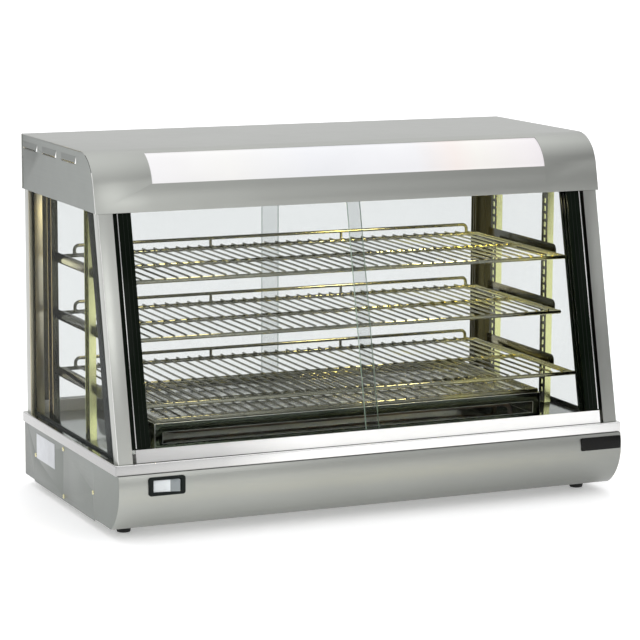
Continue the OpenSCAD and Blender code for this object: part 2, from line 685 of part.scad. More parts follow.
module light_panel() color("white") along_x(-window_x - 10, window_x + 10) {
  r1 = canopy_r - sheet - gap;
  r0 = r1 - 3;
  tail = 10;
  polygon(concat(
    arc(arc_cy, arc_cz, r1, 98, 90 + arc_end, 20),
    [[arc_cy - r1 * sin(arc_end) - tail * sin(lean_deg), arc_cz + r1 * cos(arc_end) - tail * cos(lean_deg)],
     [arc_cy - r0 * sin(arc_end) - tail * sin(lean_deg),
      arc_cz + r0 * cos(arc_end) - tail * cos(lean_deg)]],
    arc(arc_cy, arc_cz, r0, 90 + arc_end, 98, 20)));
}

// Bracket with a lamp socket, its mouth towards the middle of the canopy
module lamp_holders() color("white") for (s = [0, 1]) mirror([s, 0, 0]) translate([lamp_x, lamp_y, 0]) {
  box([98, -20, liner_z + sheet + gap / 10], [100, 20, lamp_z + 16]);
  box([98, -20, liner_z + sheet + gap / 10], [130, 20, liner_z + sheet + 2]);
  translate([64, 0, lamp_z]) rotate([0, 90, 0]) difference() {
    cylinder(h = 34.5, r = 13, $fn = 48);
    translate([0, 0, -1]) cylinder(h = 30, r = 9.3, $fn = 48);
  }
}

module lamps() color("lightyellow") for (s = [0, 1]) mirror([s, 0, 0]) translate([lamp_x, lamp_y, lamp_z]) {
  translate([-28, 0, 0]) rotate([0, 90, 0]) cylinder(h = 80, r = 12, $fn = 48);
  translate([51, 0, 0]) rotate([0, 90, 0]) cylinder(h = 12, r1 = 12, r2 = 9, $fn = 48);
  translate([62, 0, 0]) rotate([0, 90, 0]) cylinder(h = 28, r = 9, $fn = 48);
}

// ---------- draw ----------

base_pan();
fascia();
side_panel(-1);  // side_panel_left
side_panel(1);  // side_panel_right
rear_panel();
deck_plate();
feet();
foot_screws();
case_screws();
rating_label();
nameplate();
front_switch_housing();
front_switch_rocker();
rear_switch_housing();
rear_switch_rocker();
thermostat_body();
thermostat_shaft();
thermostat_knob();
pilot_lamp();
cable_gland();
terminal_block();
heater_cover();
heating_elements();
bottom_grid();
front_post(-1);  // front_post_left
front_post(1);  // front_post_right
rear_post(-1);  // rear_post_left
rear_post(1);  // rear_post_right
front_channel(-1);  // front_channel_left
front_channel(1);  // front_channel_right
front_track_lower();
front_track_upper();
rear_channel(-1);  // rear_channel_left
rear_channel(1);  // rear_channel_right
rear_track_lower();
rear_track_upper();
front_door(-1);  // front_door_left
front_door(1);  // front_door_right
rear_door(-1);  // rear_door_left
rear_door(1);  // rear_door_right
side_glass(-1);  // side_glass_left
side_glass(1);  // side_glass_right
side_seal(-1);  // side_seal_left
side_seal(1);  // side_seal_right
uprights(-1);  // uprights_left
uprights(1);  // uprights_right
shelf_brackets(2);  // shelf_brackets_top
shelf_brackets(1);  // shelf_brackets_middle
shelf_brackets(0);  // shelf_brackets_lower
shelf(2);  // shelf_top
shelf(1);  // shelf_middle
shelf(0);  // shelf_lower
canopy_shell();
canopy_end(-1);  // canopy_end_left
canopy_end(1);  // canopy_end_right
ceiling_liner();
light_panel();
lamp_holders();
lamps();
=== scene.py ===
"""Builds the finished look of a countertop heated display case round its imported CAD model."""

import json
import math

import bmesh
import bpy
from mathutils import Matrix, Vector


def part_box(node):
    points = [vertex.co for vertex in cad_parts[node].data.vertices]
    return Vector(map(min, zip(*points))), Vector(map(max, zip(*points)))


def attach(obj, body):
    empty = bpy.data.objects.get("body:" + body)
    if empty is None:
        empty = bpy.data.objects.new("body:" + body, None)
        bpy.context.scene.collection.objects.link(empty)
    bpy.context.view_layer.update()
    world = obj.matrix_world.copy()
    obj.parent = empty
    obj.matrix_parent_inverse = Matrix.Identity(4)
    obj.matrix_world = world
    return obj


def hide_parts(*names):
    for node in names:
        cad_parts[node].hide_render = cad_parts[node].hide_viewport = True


bl_info = {
    "name": "Heated Display Case",
    "version": (1, 0, 0),
    "blender": (4, 5, 0),
    "location": "View3D > Sidebar > Display Case",
    "description": "Builds the finished pieces, materials and studio of a heated display case",
    "category": "Object",
}

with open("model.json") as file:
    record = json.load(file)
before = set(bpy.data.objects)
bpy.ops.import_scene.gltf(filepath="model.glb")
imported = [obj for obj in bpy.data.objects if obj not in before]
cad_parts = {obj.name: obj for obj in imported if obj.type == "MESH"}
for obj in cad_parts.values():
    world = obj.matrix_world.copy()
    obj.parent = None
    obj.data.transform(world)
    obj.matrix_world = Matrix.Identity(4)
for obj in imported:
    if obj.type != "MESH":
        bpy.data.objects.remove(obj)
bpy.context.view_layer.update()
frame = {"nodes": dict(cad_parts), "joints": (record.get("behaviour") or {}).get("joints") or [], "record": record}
MM = 0.001
close = 0.01 * MM

# The case's main planes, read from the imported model
deck_low, deck_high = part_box("deck_plate")
shell_low, shell_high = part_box("canopy_shell")
fascia_low, fascia_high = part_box("fascia")
front_y, rear_y = deck_low.y, deck_high.y
deck_z = deck_high.z
half_width = deck_high.x
sheet = 1.2 * MM
lean_y = front_y + 3 * MM
lean = math.atan2(shell_low.y - lean_y, shell_low.z - deck_z)
canopy_radius = 65 * MM
canopy_z = shell_high.z - canopy_radius
canopy_y = lean_y + (canopy_z - deck_z) * math.tan(lean) + canopy_radius / math.cos(lean)
canopy_end = 180 - math.degrees(lean)
slope_turn = Matrix.Translation((0, lean_y, deck_z)) @ Matrix.Rotation(-lean, 4, "X")
hinges = {joint["name"]: Vector(joint["pos_m"]) for joint in frame["joints"] if "pos_m" in joint}


# ---------- modelling helpers ----------


def nothing_selected():
    """Leaves object mode on and every object unselected."""
    if bpy.context.object and bpy.context.object.mode != "OBJECT":
        bpy.ops.object.mode_set(mode="OBJECT")
    bpy.ops.object.select_all(action="DESELECT")


def pick(piece):
    """Makes a piece the only selected object and the active one."""
    nothing_selected()
    piece.select_set(True)
    bpy.context.view_layer.objects.active = piece
    return piece


def edit(piece, kind="VERT"):
    """Opens a piece in edit mode with all of it selected."""
    pick(piece)
    bpy.ops.object.mode_set(mode="EDIT")
    bpy.ops.mesh.select_mode(type=kind)
    bpy.ops.mesh.select_all(action="SELECT")


def choose(piece, kind, test):
    """In edit mode, selects the vertices, edges or faces whose middle and self pass a test."""
    bpy.ops.mesh.select_mode(type=kind)
    bpy.ops.mesh.select_all(action="DESELECT")
    mesh = bmesh.from_edit_mesh(piece.data)
    parts = {"VERT": mesh.verts, "EDGE": mesh.edges, "FACE": mesh.faces}[kind]
    for part in parts:
        corners = [part] if kind == "VERT" else list(part.verts)
        middle = sum((v.co for v in corners), Vector()) / len(corners)
        if test(middle, part):
            part.select_set(True)
    mesh.select_flush_mode()
    bmesh.update_edit_mesh(piece.data)


def settle(piece):
    """Puts the object at the origin, unturned and unscaled, with its place in its mesh."""
    pick(piece)
    bpy.ops.object.transform_apply(location=True, rotation=True, scale=True)
    return piece


def newest(name):
    """Names the object that was just made and settles it."""
    piece = bpy.context.object
    piece.name = name
    piece.data.name = name
    return settle(piece)


def block(name, low, high):
    """A cube at its size and place, from its two corners."""
    nothing_selected()
    middle = [(a + b) / 2 for a, b in zip(low, high)]
    size = [b - a for a, b in zip(low, high)]
    bpy.ops.mesh.primitive_cube_add(size=1, location=middle, scale=size)
    return newest(name)


def rod(name, start, end, radius, sides=16):
    """A cylinder from point to point."""
    nothing_selected()
    start, end = Vector(start), Vector(end)
    way = end - start
    bpy.ops.mesh.primitive_cylinder_add(
        vertices=sides,
        radius=radius,
        depth=way.length,
        location=(start + end) / 2,
        rotation=way.to_track_quat("Z", "Y").to_euler(),
    )
    return newest(name)


def drawn(name, points, closed=True):
    """A line drawn by extruding a vertex from point to point; a closed one is filled."""
    nothing_selected()
    bpy.ops.mesh.primitive_plane_add(size=MM, location=points[0])
    piece = newest(name)
    edit(piece)
    bpy.ops.mesh.merge(type="CENTER")
    for last, point in zip(points, points[1:]):
        step = Vector(point) - Vector(last)
        bpy.ops.mesh.extrude_region_move(TRANSFORM_OT_translate={"value": step})
    if closed:
        ends = (Vector(points[0]), Vector(points[-1]))
        choose(piece, "VERT", lambda c, v: min((c - e).length for e in ends) < 1e-7)
        bpy.ops.mesh.edge_face_add()
        bpy.ops.mesh.select_all(action="SELECT")
        bpy.ops.mesh.edge_face_add()
    return piece


def pushed(piece, *steps):
    """Extrudes all of a drawn line or face along the given steps."""
    bpy.ops.mesh.select_all(action="SELECT")
    for step in steps:
        bpy.ops.mesh.extrude_region_move(TRANSFORM_OT_translate={"value": step})
    outwards(piece)
    return piece


def outwards(piece):
    """Merges doubled points and turns every face outwards."""
    edit(piece, "FACE")
    bpy.ops.mesh.remove_doubles(threshold=1e-6)
    bpy.ops.mesh.normals_make_consistent(inside=False)
    bpy.ops.object.mode_set(mode="OBJECT")
    return piece


def prism(name, points, *steps):
    """A closed outline extruded along the given steps."""
    return pushed(drawn(name, points), *steps)


def facing_away(piece, inside):
    """Turns an open sheet's faces so that they look away from an inside point."""
    edit(piece, "FACE")
    bpy.ops.mesh.normals_make_consistent(inside=False)
    mesh = bmesh.from_edit_mesh(piece.data)
    inside = Vector(inside)
    outward_area = sum((f.calc_center_median() - inside).dot(f.normal) * f.calc_area() for f in mesh.faces)
    if outward_area < 0:
        bpy.ops.mesh.flip_normals()
    bpy.ops.object.mode_set(mode="OBJECT")
    return piece


def modified(piece, kind, **settings):
    """Adds one modifier with its settings and applies it."""
    pick(piece)
    modifier = piece.modifiers.new(kind.title(), kind)
    for key, value in settings.items():
        setattr(modifier, key, value)
    bpy.ops.object.modifier_apply(modifier=modifier.name)
    return piece


def thickened(piece, thickness=sheet):
    """Gives an open sheet its wall, on the side that its faces look away from."""
    return modified(piece, "SOLIDIFY", thickness=thickness, offset=-1, use_even_offset=True)


def softened(piece, width=0.4 * MM, segments=2, angle=35, smooth=35):
    """Rounds the sharp edges and shades the piece smooth between them."""
    modified(
        piece,
        "BEVEL",
        width=width,
        segments=segments,
        limit_method="ANGLE",
        angle_limit=math.radians(angle),
        use_clamp_overlap=True,
        miter_outer="MITER_ARC",
    )
    return shaded(piece, smooth)


def shaded(piece, angle=35):
    """Shades a piece smooth across edges below an angle."""
    pick(piece)
    bpy.ops.object.shade_smooth_by_angle(angle=math.radians(angle))
    return piece


def joined(name, pieces):
    """Joins pieces into one mesh under a new name."""
    nothing_selected()
    for piece in pieces:
        piece.select_set(True)
    bpy.context.view_layer.objects.active = pieces[0]
    bpy.ops.object.join()
    return newest(name)


def carved(piece, *tools):
    """Cuts the tools out of the piece and removes them."""
    tool = joined("tool", list(tools)) if len(tools) > 1 else tools[0]
    modified(piece, "BOOLEAN", object=tool, operation="DIFFERENCE", solver="EXACT")
    bpy.data.objects.remove(tool)
    return piece


def repeated(piece, count, step):
    """Copies a piece in a row into one mesh."""
    return modified(
        piece,
        "ARRAY",
        count=count,
        use_relative_offset=False,
        use_constant_offset=True,
        constant_offset_displace=step,
    )


def another(piece, name, place):
    """A copy with its own mesh, moved by a matrix, and turned right side out if it was mirrored."""
    copy = piece.copy()
    copy.data = piece.data.copy()
    copy.name = copy.data.name = name
    bpy.context.scene.collection.objects.link(copy)
    copy.data.transform(place)
    if place.determinant() < 0:
        edit(copy, "FACE")
        bpy.ops.mesh.flip_normals()
        bpy.ops.object.mode_set(mode="OBJECT")
    return copy


unmoved = Matrix.Identity(4)
mirror_x = Matrix.Scale(-1, 4, (1, 0, 0))


def mirrored(piece):
    """Replaces a piece with its mirror image, under the same name."""
    name = piece.name
    copy = another(piece, name, mirror_x)
    bpy.data.objects.remove(piece)
    copy.name = name
    return copy


def spread(piece, spots):
    """Copies of a piece at (x, y) spots; the first one is removed."""
    copies = []
    for i, (x, y) in enumerate(spots):
        copies.append(another(piece, f"{piece.name}_{i}", Matrix.Translation((x, y, 0))))
    bpy.data.objects.remove(piece)
    return copies


def turned_onto_slope(piece):
    """Takes a piece from the leaning front's own axes to its place on the case."""
    pick(piece)
    piece.matrix_world = slope_turn
    return settle(piece)


def lathe(name, outline, steps=48):
    """Spins an outline of (radius, height) points round the Z axis into a closed body."""
    piece = drawn(name, [(r, 0, z) for r, z in outline], closed=False)
    bpy.ops.mesh.select_all(action="SELECT")
    bpy.ops.mesh.spin(steps=steps, angle=math.tau, center=(0, 0, 0), axis=(0, 0, 1))
    return outwards(piece)


def set_down(piece, at, way=(0, 0, 1)):
    """Moves a piece made at the origin to its place, its Z axis along the given way."""
    pick(piece)
    turn = Vector(way).to_track_quat("Z", "Y").to_matrix().to_4x4()
    piece.matrix_world = Matrix.Translation(at) @ turn
    return settle(piece)


def rounded_rectangle(width, height, radius, steps=5):
    """(x, z) points of a rectangle with rounded corners round the origin."""
    points = []
    for corner in range(4):
        cx = (width / 2 - radius) * (1 if corner in (0, 3) else -1)
        cz = (height / 2 - radius) * (1 if corner in (0, 1) else -1)
        for i in range(steps + 1):
            a = math.pi / 2 * (corner + i / steps)
            points.append((cx + radius * math.cos(a), cz + radius * math.sin(a)))
    return points


def bend(cy, cz, radius, start, end, steps):
    """(y, z) points of a bend round a centre, from one angle in degrees to another."""
    angles = [math.radians(start + (end - start) * i / steps) for i in range(steps + 1)]
    return [(cy + radius * math.cos(a), cz + radius * math.sin(a)) for a in angles]


def from_node(node, name=None, flattened=True):
    """A copy of a CAD node's mesh, merged into clean flat faces, ready for rounding.
    A sheet with many holes keeps its triangles, because one face can't surround them all."""
    source = frame["nodes"][node]
    piece = source.copy()
    piece.data = source.data.copy()
    for key in list(piece.keys()):
        del piece[key]
    piece.parent = None
    piece.matrix_world = Matrix.Identity(4)
    piece.name = piece.data.name = name or node + "_finished"
    bpy.context.scene.collection.objects.link(piece)
    edit(piece)
    bpy.ops.mesh.customdata_custom_splitnormals_clear()
    bpy.ops.mesh.remove_doubles(threshold=1e-6)
    if flattened:
        bpy.ops.mesh.dissolve_limited(angle_limit=math.radians(0.5))
    bpy.ops.object.mode_set(mode="OBJECT")
    return piece


def body_of(node):
    """The name of the body that holds a CAD node."""
    bodies = frame["record"]["behaviour"]["bodies"]
    return next(body for body, members in bodies.items() if node in members)


def placed(piece, node, *finishes):
    """Gives a piece its finishes and lets it stand for its CAD node, on that node's body."""
    if finishes:
        piece.data.materials.clear()
        for finish in finishes:
            piece.data.materials.append(finish)
    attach(piece, body_of(node))
    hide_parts(node)
    return piece


def added(piece, node, *finishes):
    """Gives a small extra piece its finishes and lets it ride with a CAD node's body."""
    piece.data.materials.clear()
    for finish in finishes:
        piece.data.materials.append(finish)
    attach(piece, body_of(node))
    return piece


# ---------- finishes ----------

made_finishes = {}


class Finish:
    """One material and short ways to add the nodes that its pattern needs."""

    def __init__(self, name, **shader_values):
        self.material = bpy.data.materials.new(name)
        self.material.use_nodes = True
        self.nodes = self.material.node_tree.nodes
        self.links = self.material.node_tree.links
        self.shader = self.nodes["Principled BSDF"]
        for key, value in shader_values.items():
            self.shader.inputs[key.replace("_", " ")].default_value = value

    def node(self, kind, inputs=None, **settings):
        """Adds a node; an input is given its value or linked to another node's output."""
        made = self.nodes.new(kind)
        for key, value in settings.items():
            setattr(made, key, value)
        for key, value in (inputs or {}).items():
            if isinstance(value, bpy.types.NodeSocket):
                self.links.new(value, made.inputs[key])
            else:
                made.inputs[key].default_value = value
        return made

    def place(self, stretch=(1, 1, 1), turn=(0, 0, 0)):
        """Object coordinates, turned and stretched."""
        coordinates = self.node("ShaderNodeTexCoord").outputs["Object"]
        inputs = {"Vector": coordinates, "Rotation": turn, "Scale": stretch}
        return self.node("ShaderNodeMapping", inputs).outputs[0]

    def noise(self, where, scale, detail=2.0, roughness=0.5):
        inputs = {"Vector": where, "Scale": scale, "Detail": detail, "Roughness": roughness}
        return self.node("ShaderNodeTexNoise", inputs).outputs["Fac"]

    def ranged(self, value, low, high, from_low=0.0, from_high=1.0):
        """Maps a value from one range to another."""
        inputs = {"Value": value, "From Min": from_low, "From Max": from_high}
        inputs.update({"To Min": low, "To Max": high})
        return self.node("ShaderNodeMapRange", inputs).outputs[0]

    def ramp(self, value, *stops):
        """A colour ramp from (place, colour) stops."""
        made = self.node("ShaderNodeValToRGB", {"Fac": value})
        elements = made.color_ramp.elements
        while len(elements) < len(stops):
            elements.new(1.0)
        for element, (place, colour) in zip(elements, stops):
            element.position = place
            element.color = (*colour, 1)
        return made.outputs["Color"]

    def maths(self, operation, a, b):
        return self.node("ShaderNodeMath", {0: a, 1: b}, operation=operation).outputs[0]

    def scaled(self, colour, share):
        """A colour made lighter or darker by a share."""
        inputs = {0: colour, "Scale": share}
        return self.node("ShaderNodeVectorMath", inputs, operation="SCALE").outputs[0]

    def painted_light_over(self, axis, reach, stops):
        """A painted shade and highlight over the case's width or depth, which faces that look up don't take."""
        across = self.node("ShaderNodeSeparateXYZ", {"Vector": self.place()}).outputs[axis]
        place = self.ranged(across, 0, 1, -reach, reach)
        tone = self.ramp(place, *[(at, (share,) * 3) for at, share in stops])
        normal = self.node("ShaderNodeNewGeometry").outputs["Normal"]
        up = self.node("ShaderNodeSeparateXYZ", {"Vector": normal}).outputs["Z"]
        steep = self.ranged(up, 1, 0, 0.45, 0.8)
        return self.maths("ADD", self.maths("MULTIPLY", tone, steep), self.maths("SUBTRACT", 1, steep))

    def bumps(self, height, strength, distance):
        """Lets a pattern raise and sink the surface."""
        inputs = {"Height": height, "Strength": strength, "Distance": distance}
        self.links.new(self.node("ShaderNodeBump", inputs).outputs[0], self.shader.inputs["Normal"])

    def drive(self, socket, value):
        """Links a pattern to one of the shader's sockets."""
        self.links.new(value, self.shader.inputs[socket])


def shade_of(colour, factor):
    """A lighter or darker shade of a colour."""
    return tuple(min(1.0, c * factor) for c in colour)


def steel(name, colour, roughness, grain="X", strength=0.12, vary=0.04, painted_light_stops=None, painted_light_axis="X"):
    """Brushed stainless: fine grain along one axis, faint cloudiness and handling marks.
    Optional (place, share) stops give a painted shade and highlight over the case's width or depth."""
    if name in made_finishes:
        return made_finishes[name]
    finish = Finish(name, Metallic=1.0)
    along, across = 6, 900
    stretch = tuple(along if axis == grain else across for axis in "XYZ")
    lines = finish.noise(finish.place(stretch), 1.0, 3.0, 0.6)
    clouds = finish.noise(finish.place(), 7.0, 3.0)
    marks = finish.noise(finish.place((1, 1, 1), (0.4, 0.2, 0.1)), 38.0, 2.0)
    tone = finish.ranged(finish.maths("ADD", clouds, finish.maths("MULTIPLY", lines, 0.35)), 0, 1, 0.3, 1.05)
    colours = finish.ramp(tone, (0.0, shade_of(colour, 1 - vary)), (1.0, shade_of(colour, 1 + vary)))
    # Painted shade and highlight: the colour is scaled along the case's width or depth.
    if painted_light_stops:
        reach = half_width if painted_light_axis == "X" else rear_y
        colours = finish.scaled(colours, finish.painted_light_over(painted_light_axis, reach, painted_light_stops))
    finish.drive("Base Color", colours)
    fine = finish.ranged(lines, roughness - 0.05, roughness + 0.05)
    finish.drive("Roughness", finish.maths("ADD", fine, finish.ranged(marks, -0.02, 0.03)))
    finish.bumps(lines, strength, 0.05 * MM)
    made_finishes[name] = finish.material
    return finish.material


def plated_wire():
    """Plated wire with a painted warm reflection that makes it more golden towards the lamp side, with slight
    unevenness.
    """
    if "chrome_wire" in made_finishes:
        return made_finishes["chrome_wire"]
    look = bpy.context.scene.display_case
    finish = Finish("chrome_wire", Metallic=1.0)
    spots = finish.noise(finish.place(), 160.0, 3.0)
    clouds = finish.noise(finish.place(), 9.0, 2.0)
    # Painted warm reflection: the colour turns golden towards the right.
    across = finish.node("ShaderNodeSeparateXYZ", {"Vector": finish.place()}).outputs["X"]
    share = finish.ranged(across, -0.25, 0.35, -half_width, half_width)
    place = finish.maths("ADD", share, clouds)
    colour = tuple(look.wire_colour)
    finish.drive("Base Color", finish.ramp(place, (0.62, colour), (0.95, (0.56, 0.52, 0.22))))
    finish.drive("Roughness", finish.ranged(spots, 0.10, 0.24))
    finish.bumps(spots, 0.08, 0.05 * MM)
    made_finishes["chrome_wire"] = finish.material
    return finish.material


def reflection_band_polish(axis):
    """Polished inner steel with a painted reflection: long light and dark bands in its colour."""
    name = "stainless_banded_" + axis.lower()
    if name in made_finishes:
        return made_finishes[name]
    finish = Finish(name, Metallic=1.0)
    stretch = tuple(2.5 if a == axis else 38 for a in "XYZ")
    bands = finish.noise(finish.place(stretch), 1.0, 1.5, 0.5)
    fine = finish.noise(finish.place(), 60.0, 2.0)
    # Painted reflection: dark, mid and golden light bands stand for the mirrored surroundings and the lamps.
    dark, mid = (0.07, 0.07, 0.045), (0.24, 0.21, 0.11)
    light = tuple(bpy.context.scene.display_case.polished_colour)
    finish.drive("Base Color", finish.ramp(bands, (0.52, dark), (0.6, mid), (0.7, light)))
    finish.drive("Roughness", finish.ranged(fine, 0.07, 0.17))
    finish.bumps(fine, 0.1, 0.05 * MM)
    made_finishes[name] = finish.material
    return finish.material


def moulded(name, colour, roughness, grain_scale=900.0, strength=0.2, coat=0.0, shine=0.5):
    """Moulded plastic or rubber with a fine grain and faint dust."""
    if name in made_finishes:
        return made_finishes[name]
    finish = Finish(name, Coat_Weight=coat, Coat_Roughness=0.08, Specular_IOR_Level=shine)
    grain = finish.noise(finish.place(), grain_scale, 2.0)
    dust = finish.noise(finish.place(), 14.0, 4.0, 0.6)
    dusty = finish.ramp(dust, (0.35, shade_of(colour, 0.85)), (0.75, shade_of(colour, 1.25)))
    finish.drive("Base Color", dusty)
    finish.drive("Roughness", finish.ranged(dust, roughness - 0.05, roughness + 0.08))
    finish.bumps(grain, strength, 0.05 * MM)
    made_finishes[name] = finish.material
    return finish.material


def door_black():
    """Black gloss of the door channels, drawn along their length."""
    if "black_gloss" in made_finishes:
        return made_finishes["black_gloss"]
    finish = Finish("black_gloss", Specular_IOR_Level=0.03)
    lines = finish.noise(finish.place((700, 700, 5)), 1.0, 2.0)
    clouds = finish.noise(finish.place(), 11.0, 3.0)
    black = finish.ramp(clouds, (0.3, (0.002, 0.004, 0.002)), (0.8, (0.005, 0.008, 0.005)))
    finish.drive("Base Color", black)
    finish.drive("Roughness", finish.ranged(lines, 0.08, 0.2))
    finish.bumps(lines, 0.15, 0.05 * MM)
    made_finishes["black_gloss"] = finish.material
    return finish.material


def clear_glass():
    """Float glass: clear face on, mirror-like at a glancing angle, with faint wiping marks."""
    if "clear_glass" in made_finishes:
        return made_finishes["clear_glass"]
    finish = Finish("clear_glass", Metallic=1.0)
    look = bpy.context.scene.display_case
    tint = tuple(look.glass_tint)
    wiped = finish.noise(finish.place((1, 1, 0.4), (0, 0.5, 0)), 9.0, 4.0, 0.6)
    finish.drive("Base Color", finish.ramp(wiped, (0.3, (0.86, 0.90, 0.88)), (0.7, (0.95, 0.97, 0.96))))
    finish.drive("Roughness", finish.ranged(wiped, 0.02, 0.06))
    clear = finish.node("ShaderNodeBsdfTransparent", {"Color": (*tint, 1)}).outputs[0]
    edge_on = finish.node("ShaderNodeLayerWeight", {"Blend": 0.5}).outputs["Facing"]
    haze = finish.ranged(wiped, 0.0, 0.004, 0.35, 0.75)
    mirror = finish.maths("MULTIPLY", finish.maths("POWER", edge_on, 4.0), 0.07)
    share = finish.maths("ADD", haze, mirror)
    inputs = {"Fac": share, 1: clear, 2: finish.shader.outputs[0]}
    mixed = finish.node("ShaderNodeMixShader", inputs).outputs[0]
    finish.links.new(mixed, finish.nodes["Material Output"].inputs["Surface"])
    made_finishes["clear_glass"] = finish.material
    return finish.material


def glass_edge():
    """The ground green edge of float glass."""
    if "glass_edge" in made_finishes:
        return made_finishes["glass_edge"]
    finish = Finish("glass_edge", IOR=1.5, Coat_Weight=0.5)
    grain = finish.noise(finish.place(), 420.0, 2.0)
    finish.drive("Base Color", finish.ramp(grain, (0.3, (0.22, 0.33, 0.27)), (0.8, (0.46, 0.58, 0.51))))
    finish.drive("Roughness", finish.ranged(grain, 0.12, 0.3))
    finish.bumps(grain, 0.1, 0.05 * MM)
    made_finishes["glass_edge"] = finish.material
    return finish.material


def opal_light():
    """Opal cover lit from behind: near white, warmer where the lamps sit."""
    if "opal_light" in made_finishes:
        return made_finishes["opal_light"]
    look = bpy.context.scene.display_case
    finish = Finish("opal_light", Roughness=0.25, Coat_Weight=0.6, Coat_Roughness=0.06)
    across = finish.node("ShaderNodeSeparateXYZ", {"Vector": finish.place()}).outputs["X"]
    clouds = finish.noise(finish.place(), 12.0, 2.0)
    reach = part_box("light_panel")[1].x
    share = finish.ranged(across, 0.0, 1.0, -reach, reach)
    glow = finish.ramp(
        share,
        (0.0, (0.97, 0.95, 0.97)),
        (0.2, (1.0, 0.99, 0.97)),
        (0.4, (0.91, 0.92, 0.96)),
        (0.66, (0.93, 0.93, 0.96)),
        (0.76, (1.0, 0.90, 0.86)),
        (0.82, (1.0, 0.97, 0.92)),
        (1.0, (0.92, 0.86, 0.90)),
    )
    finish.drive("Base Color", finish.ramp(clouds, (0.3, (0.15, 0.15, 0.15)), (0.7, (0.18, 0.18, 0.18))))
    finish.drive("Emission Color", glow)
    finish.shader.inputs["Emission Strength"].default_value = look.panel_light
    made_finishes["opal_light"] = finish.material
    return finish.material


def lamp_glow():
    """Frosted bulb, glowing warm."""
    if "lamp_glow" in made_finishes:
        return made_finishes["lamp_glow"]
    look = bpy.context.scene.display_case
    finish = Finish("lamp_glow", Roughness=0.4)
    clouds = finish.noise(finish.place(), 90.0, 2.0)
    finish.drive("Base Color", finish.ramp(clouds, (0.3, (0.95, 0.9, 0.8)), (0.7, (1.0, 0.97, 0.9))))
    glow = finish.ramp(clouds, (0.3, (1.0, 0.70, 0.32)), (0.7, (1.0, 0.80, 0.45)))
    finish.drive("Emission Color", glow)
    finish.shader.inputs["Emission Strength"].default_value = look.lamp_light
    made_finishes["lamp_glow"] = finish.material
    return finish.material


def dull_sheath():
    """Heat-darkened tube of a heating element, straw and blue in patches."""
    if "element_sheath" in made_finishes:
        return made_finishes["element_sheath"]
    finish = Finish("element_sheath", Metallic=1.0)
    heat = finish.noise(finish.place((2, 8, 8)), 6.0, 3.0)
    fine = finish.noise(finish.place(), 300.0, 2.0)
    brown, straw, blue = (0.16, 0.12, 0.10), (0.30, 0.24, 0.18), (0.14, 0.15, 0.19)
    finish.drive("Base Color", finish.ramp(heat, (0.3, brown), (0.5, straw), (0.7, blue)))
    finish.drive("Roughness", finish.ranged(fine, 0.35, 0.6))
    finish.bumps(fine, 0.2, 0.05 * MM)
    made_finishes["element_sheath"] = finish.material
    return finish.material


def case_steel(axis):
    """Casing and canopy, with painted shade that makes them duller towards the right."""
    colour = tuple(bpy.context.scene.display_case.steel_colour)
    return steel("stainless_" + axis.lower(), colour, 0.36, axis, painted_light_stops=((0.0, 1.0), (1.0, 0.68)))


def side_shade_steel():
    """The case's sides, with painted shade: darker than the casing's front and duller towards the rear."""
    colour = tuple(bpy.context.scene.display_case.side_shade_colour)
    painted_light_stops = ((0.0, 1.04), (0.4, 0.98), (1.0, 0.78))
    return steel("stainless_sides_painted_shade", colour, 0.38, "Y", painted_light_stops=painted_light_stops, painted_light_axis="Y")


def trim_steel(axis):
    """Posts and the ceiling's sheet, with painted shade that darkens them towards the right."""
    colour = tuple(bpy.context.scene.display_case.trim_colour)
    return steel("stainless_trim_" + axis.lower(), colour, 0.30, axis, painted_light_stops=((0.0, 0.85), (1.0, 0.55)))


def polished_steel(axis):
    """Screws, shafts and other small polished pieces."""
    colour = tuple(bpy.context.scene.display_case.polished_colour)
    return steel("stainless_polished_" + axis.lower(), colour, 0.12, axis, 0.05)


def bright_steel(axis):
    """The deck's rim and the doors' trim, with a painted highlight right of the middle and painted shade at both
    ends.
    """
    colour = tuple(bpy.context.scene.display_case.bright_colour)
    painted_light_stops = ((0.0, 0.48), (0.2, 0.6), (0.36, 1.0), (0.8, 1.0), (1.0, 0.72))
    return steel("stainless_bright_" + axis.lower(), colour, 0.17, axis, 0.06, painted_light_stops=painted_light_stops)


def satin_track():
    """Pale satin metal of the door tracks; its near-white, partly diffuse tone is a painted highlight, whitest at
    the middle and right.
    """
    painted_light_stops = ((0, 0.5), (0.2, 0.62), (0.36, 1), (1, 1))
    material = steel("satin_track", (0.95, 0.95, 0.94), 0.4, "X", 0.05, 0.02, painted_light_stops)
    material.node_tree.nodes["Principled BSDF"].inputs["Metallic"].default_value = 0.25
    return material


def edge_highlight_steel():
    """Painted highlight on cut and folded sheet edges."""
    return steel("stainless_edge_highlight", (0.97, 0.97, 0.95), 0.32, "Z", 0.05, 0.03)


def holed_steel(front):
    """Uprights and brackets: dark sides with painted shade, and fronts with painted golden lamp light."""
    if front:
        return steel("stainless_painted_lamp_light", (0.92, 0.93, 0.46), 0.24, "Z", 0.03, 0.12)
    return steel("stainless_upright_painted_shade", (0.06, 0.06, 0.04), 0.14, "Z", 0.03, 0.35)


def glow_and_shadow_steel(side):
    """Painted light on post faces: a painted warm glow on the left and painted shadow on the right."""
    # Painted glow colour on the left, painted shadow colour on the right.
    colour = (0.78, 0.72, 0.56) if side == "left" else (0.075, 0.066, 0.028)
    return steel("stainless_warm_" + side, colour, 0.3, "Z")


def deck_polish():
    """The deck inside the cabin, almost a mirror."""
    colour = tuple(bpy.context.scene.display_case.deck_colour)
    return steel("stainless_deck", colour, 0.1, "X", 0.04)


def shade_polish():
    """Painted shade on the heater cover's walls."""
    colour = tuple(bpy.context.scene.display_case.heater_shade_colour)
    return steel("stainless_heater_painted_shade", colour, 0.14, "X", 0.05)


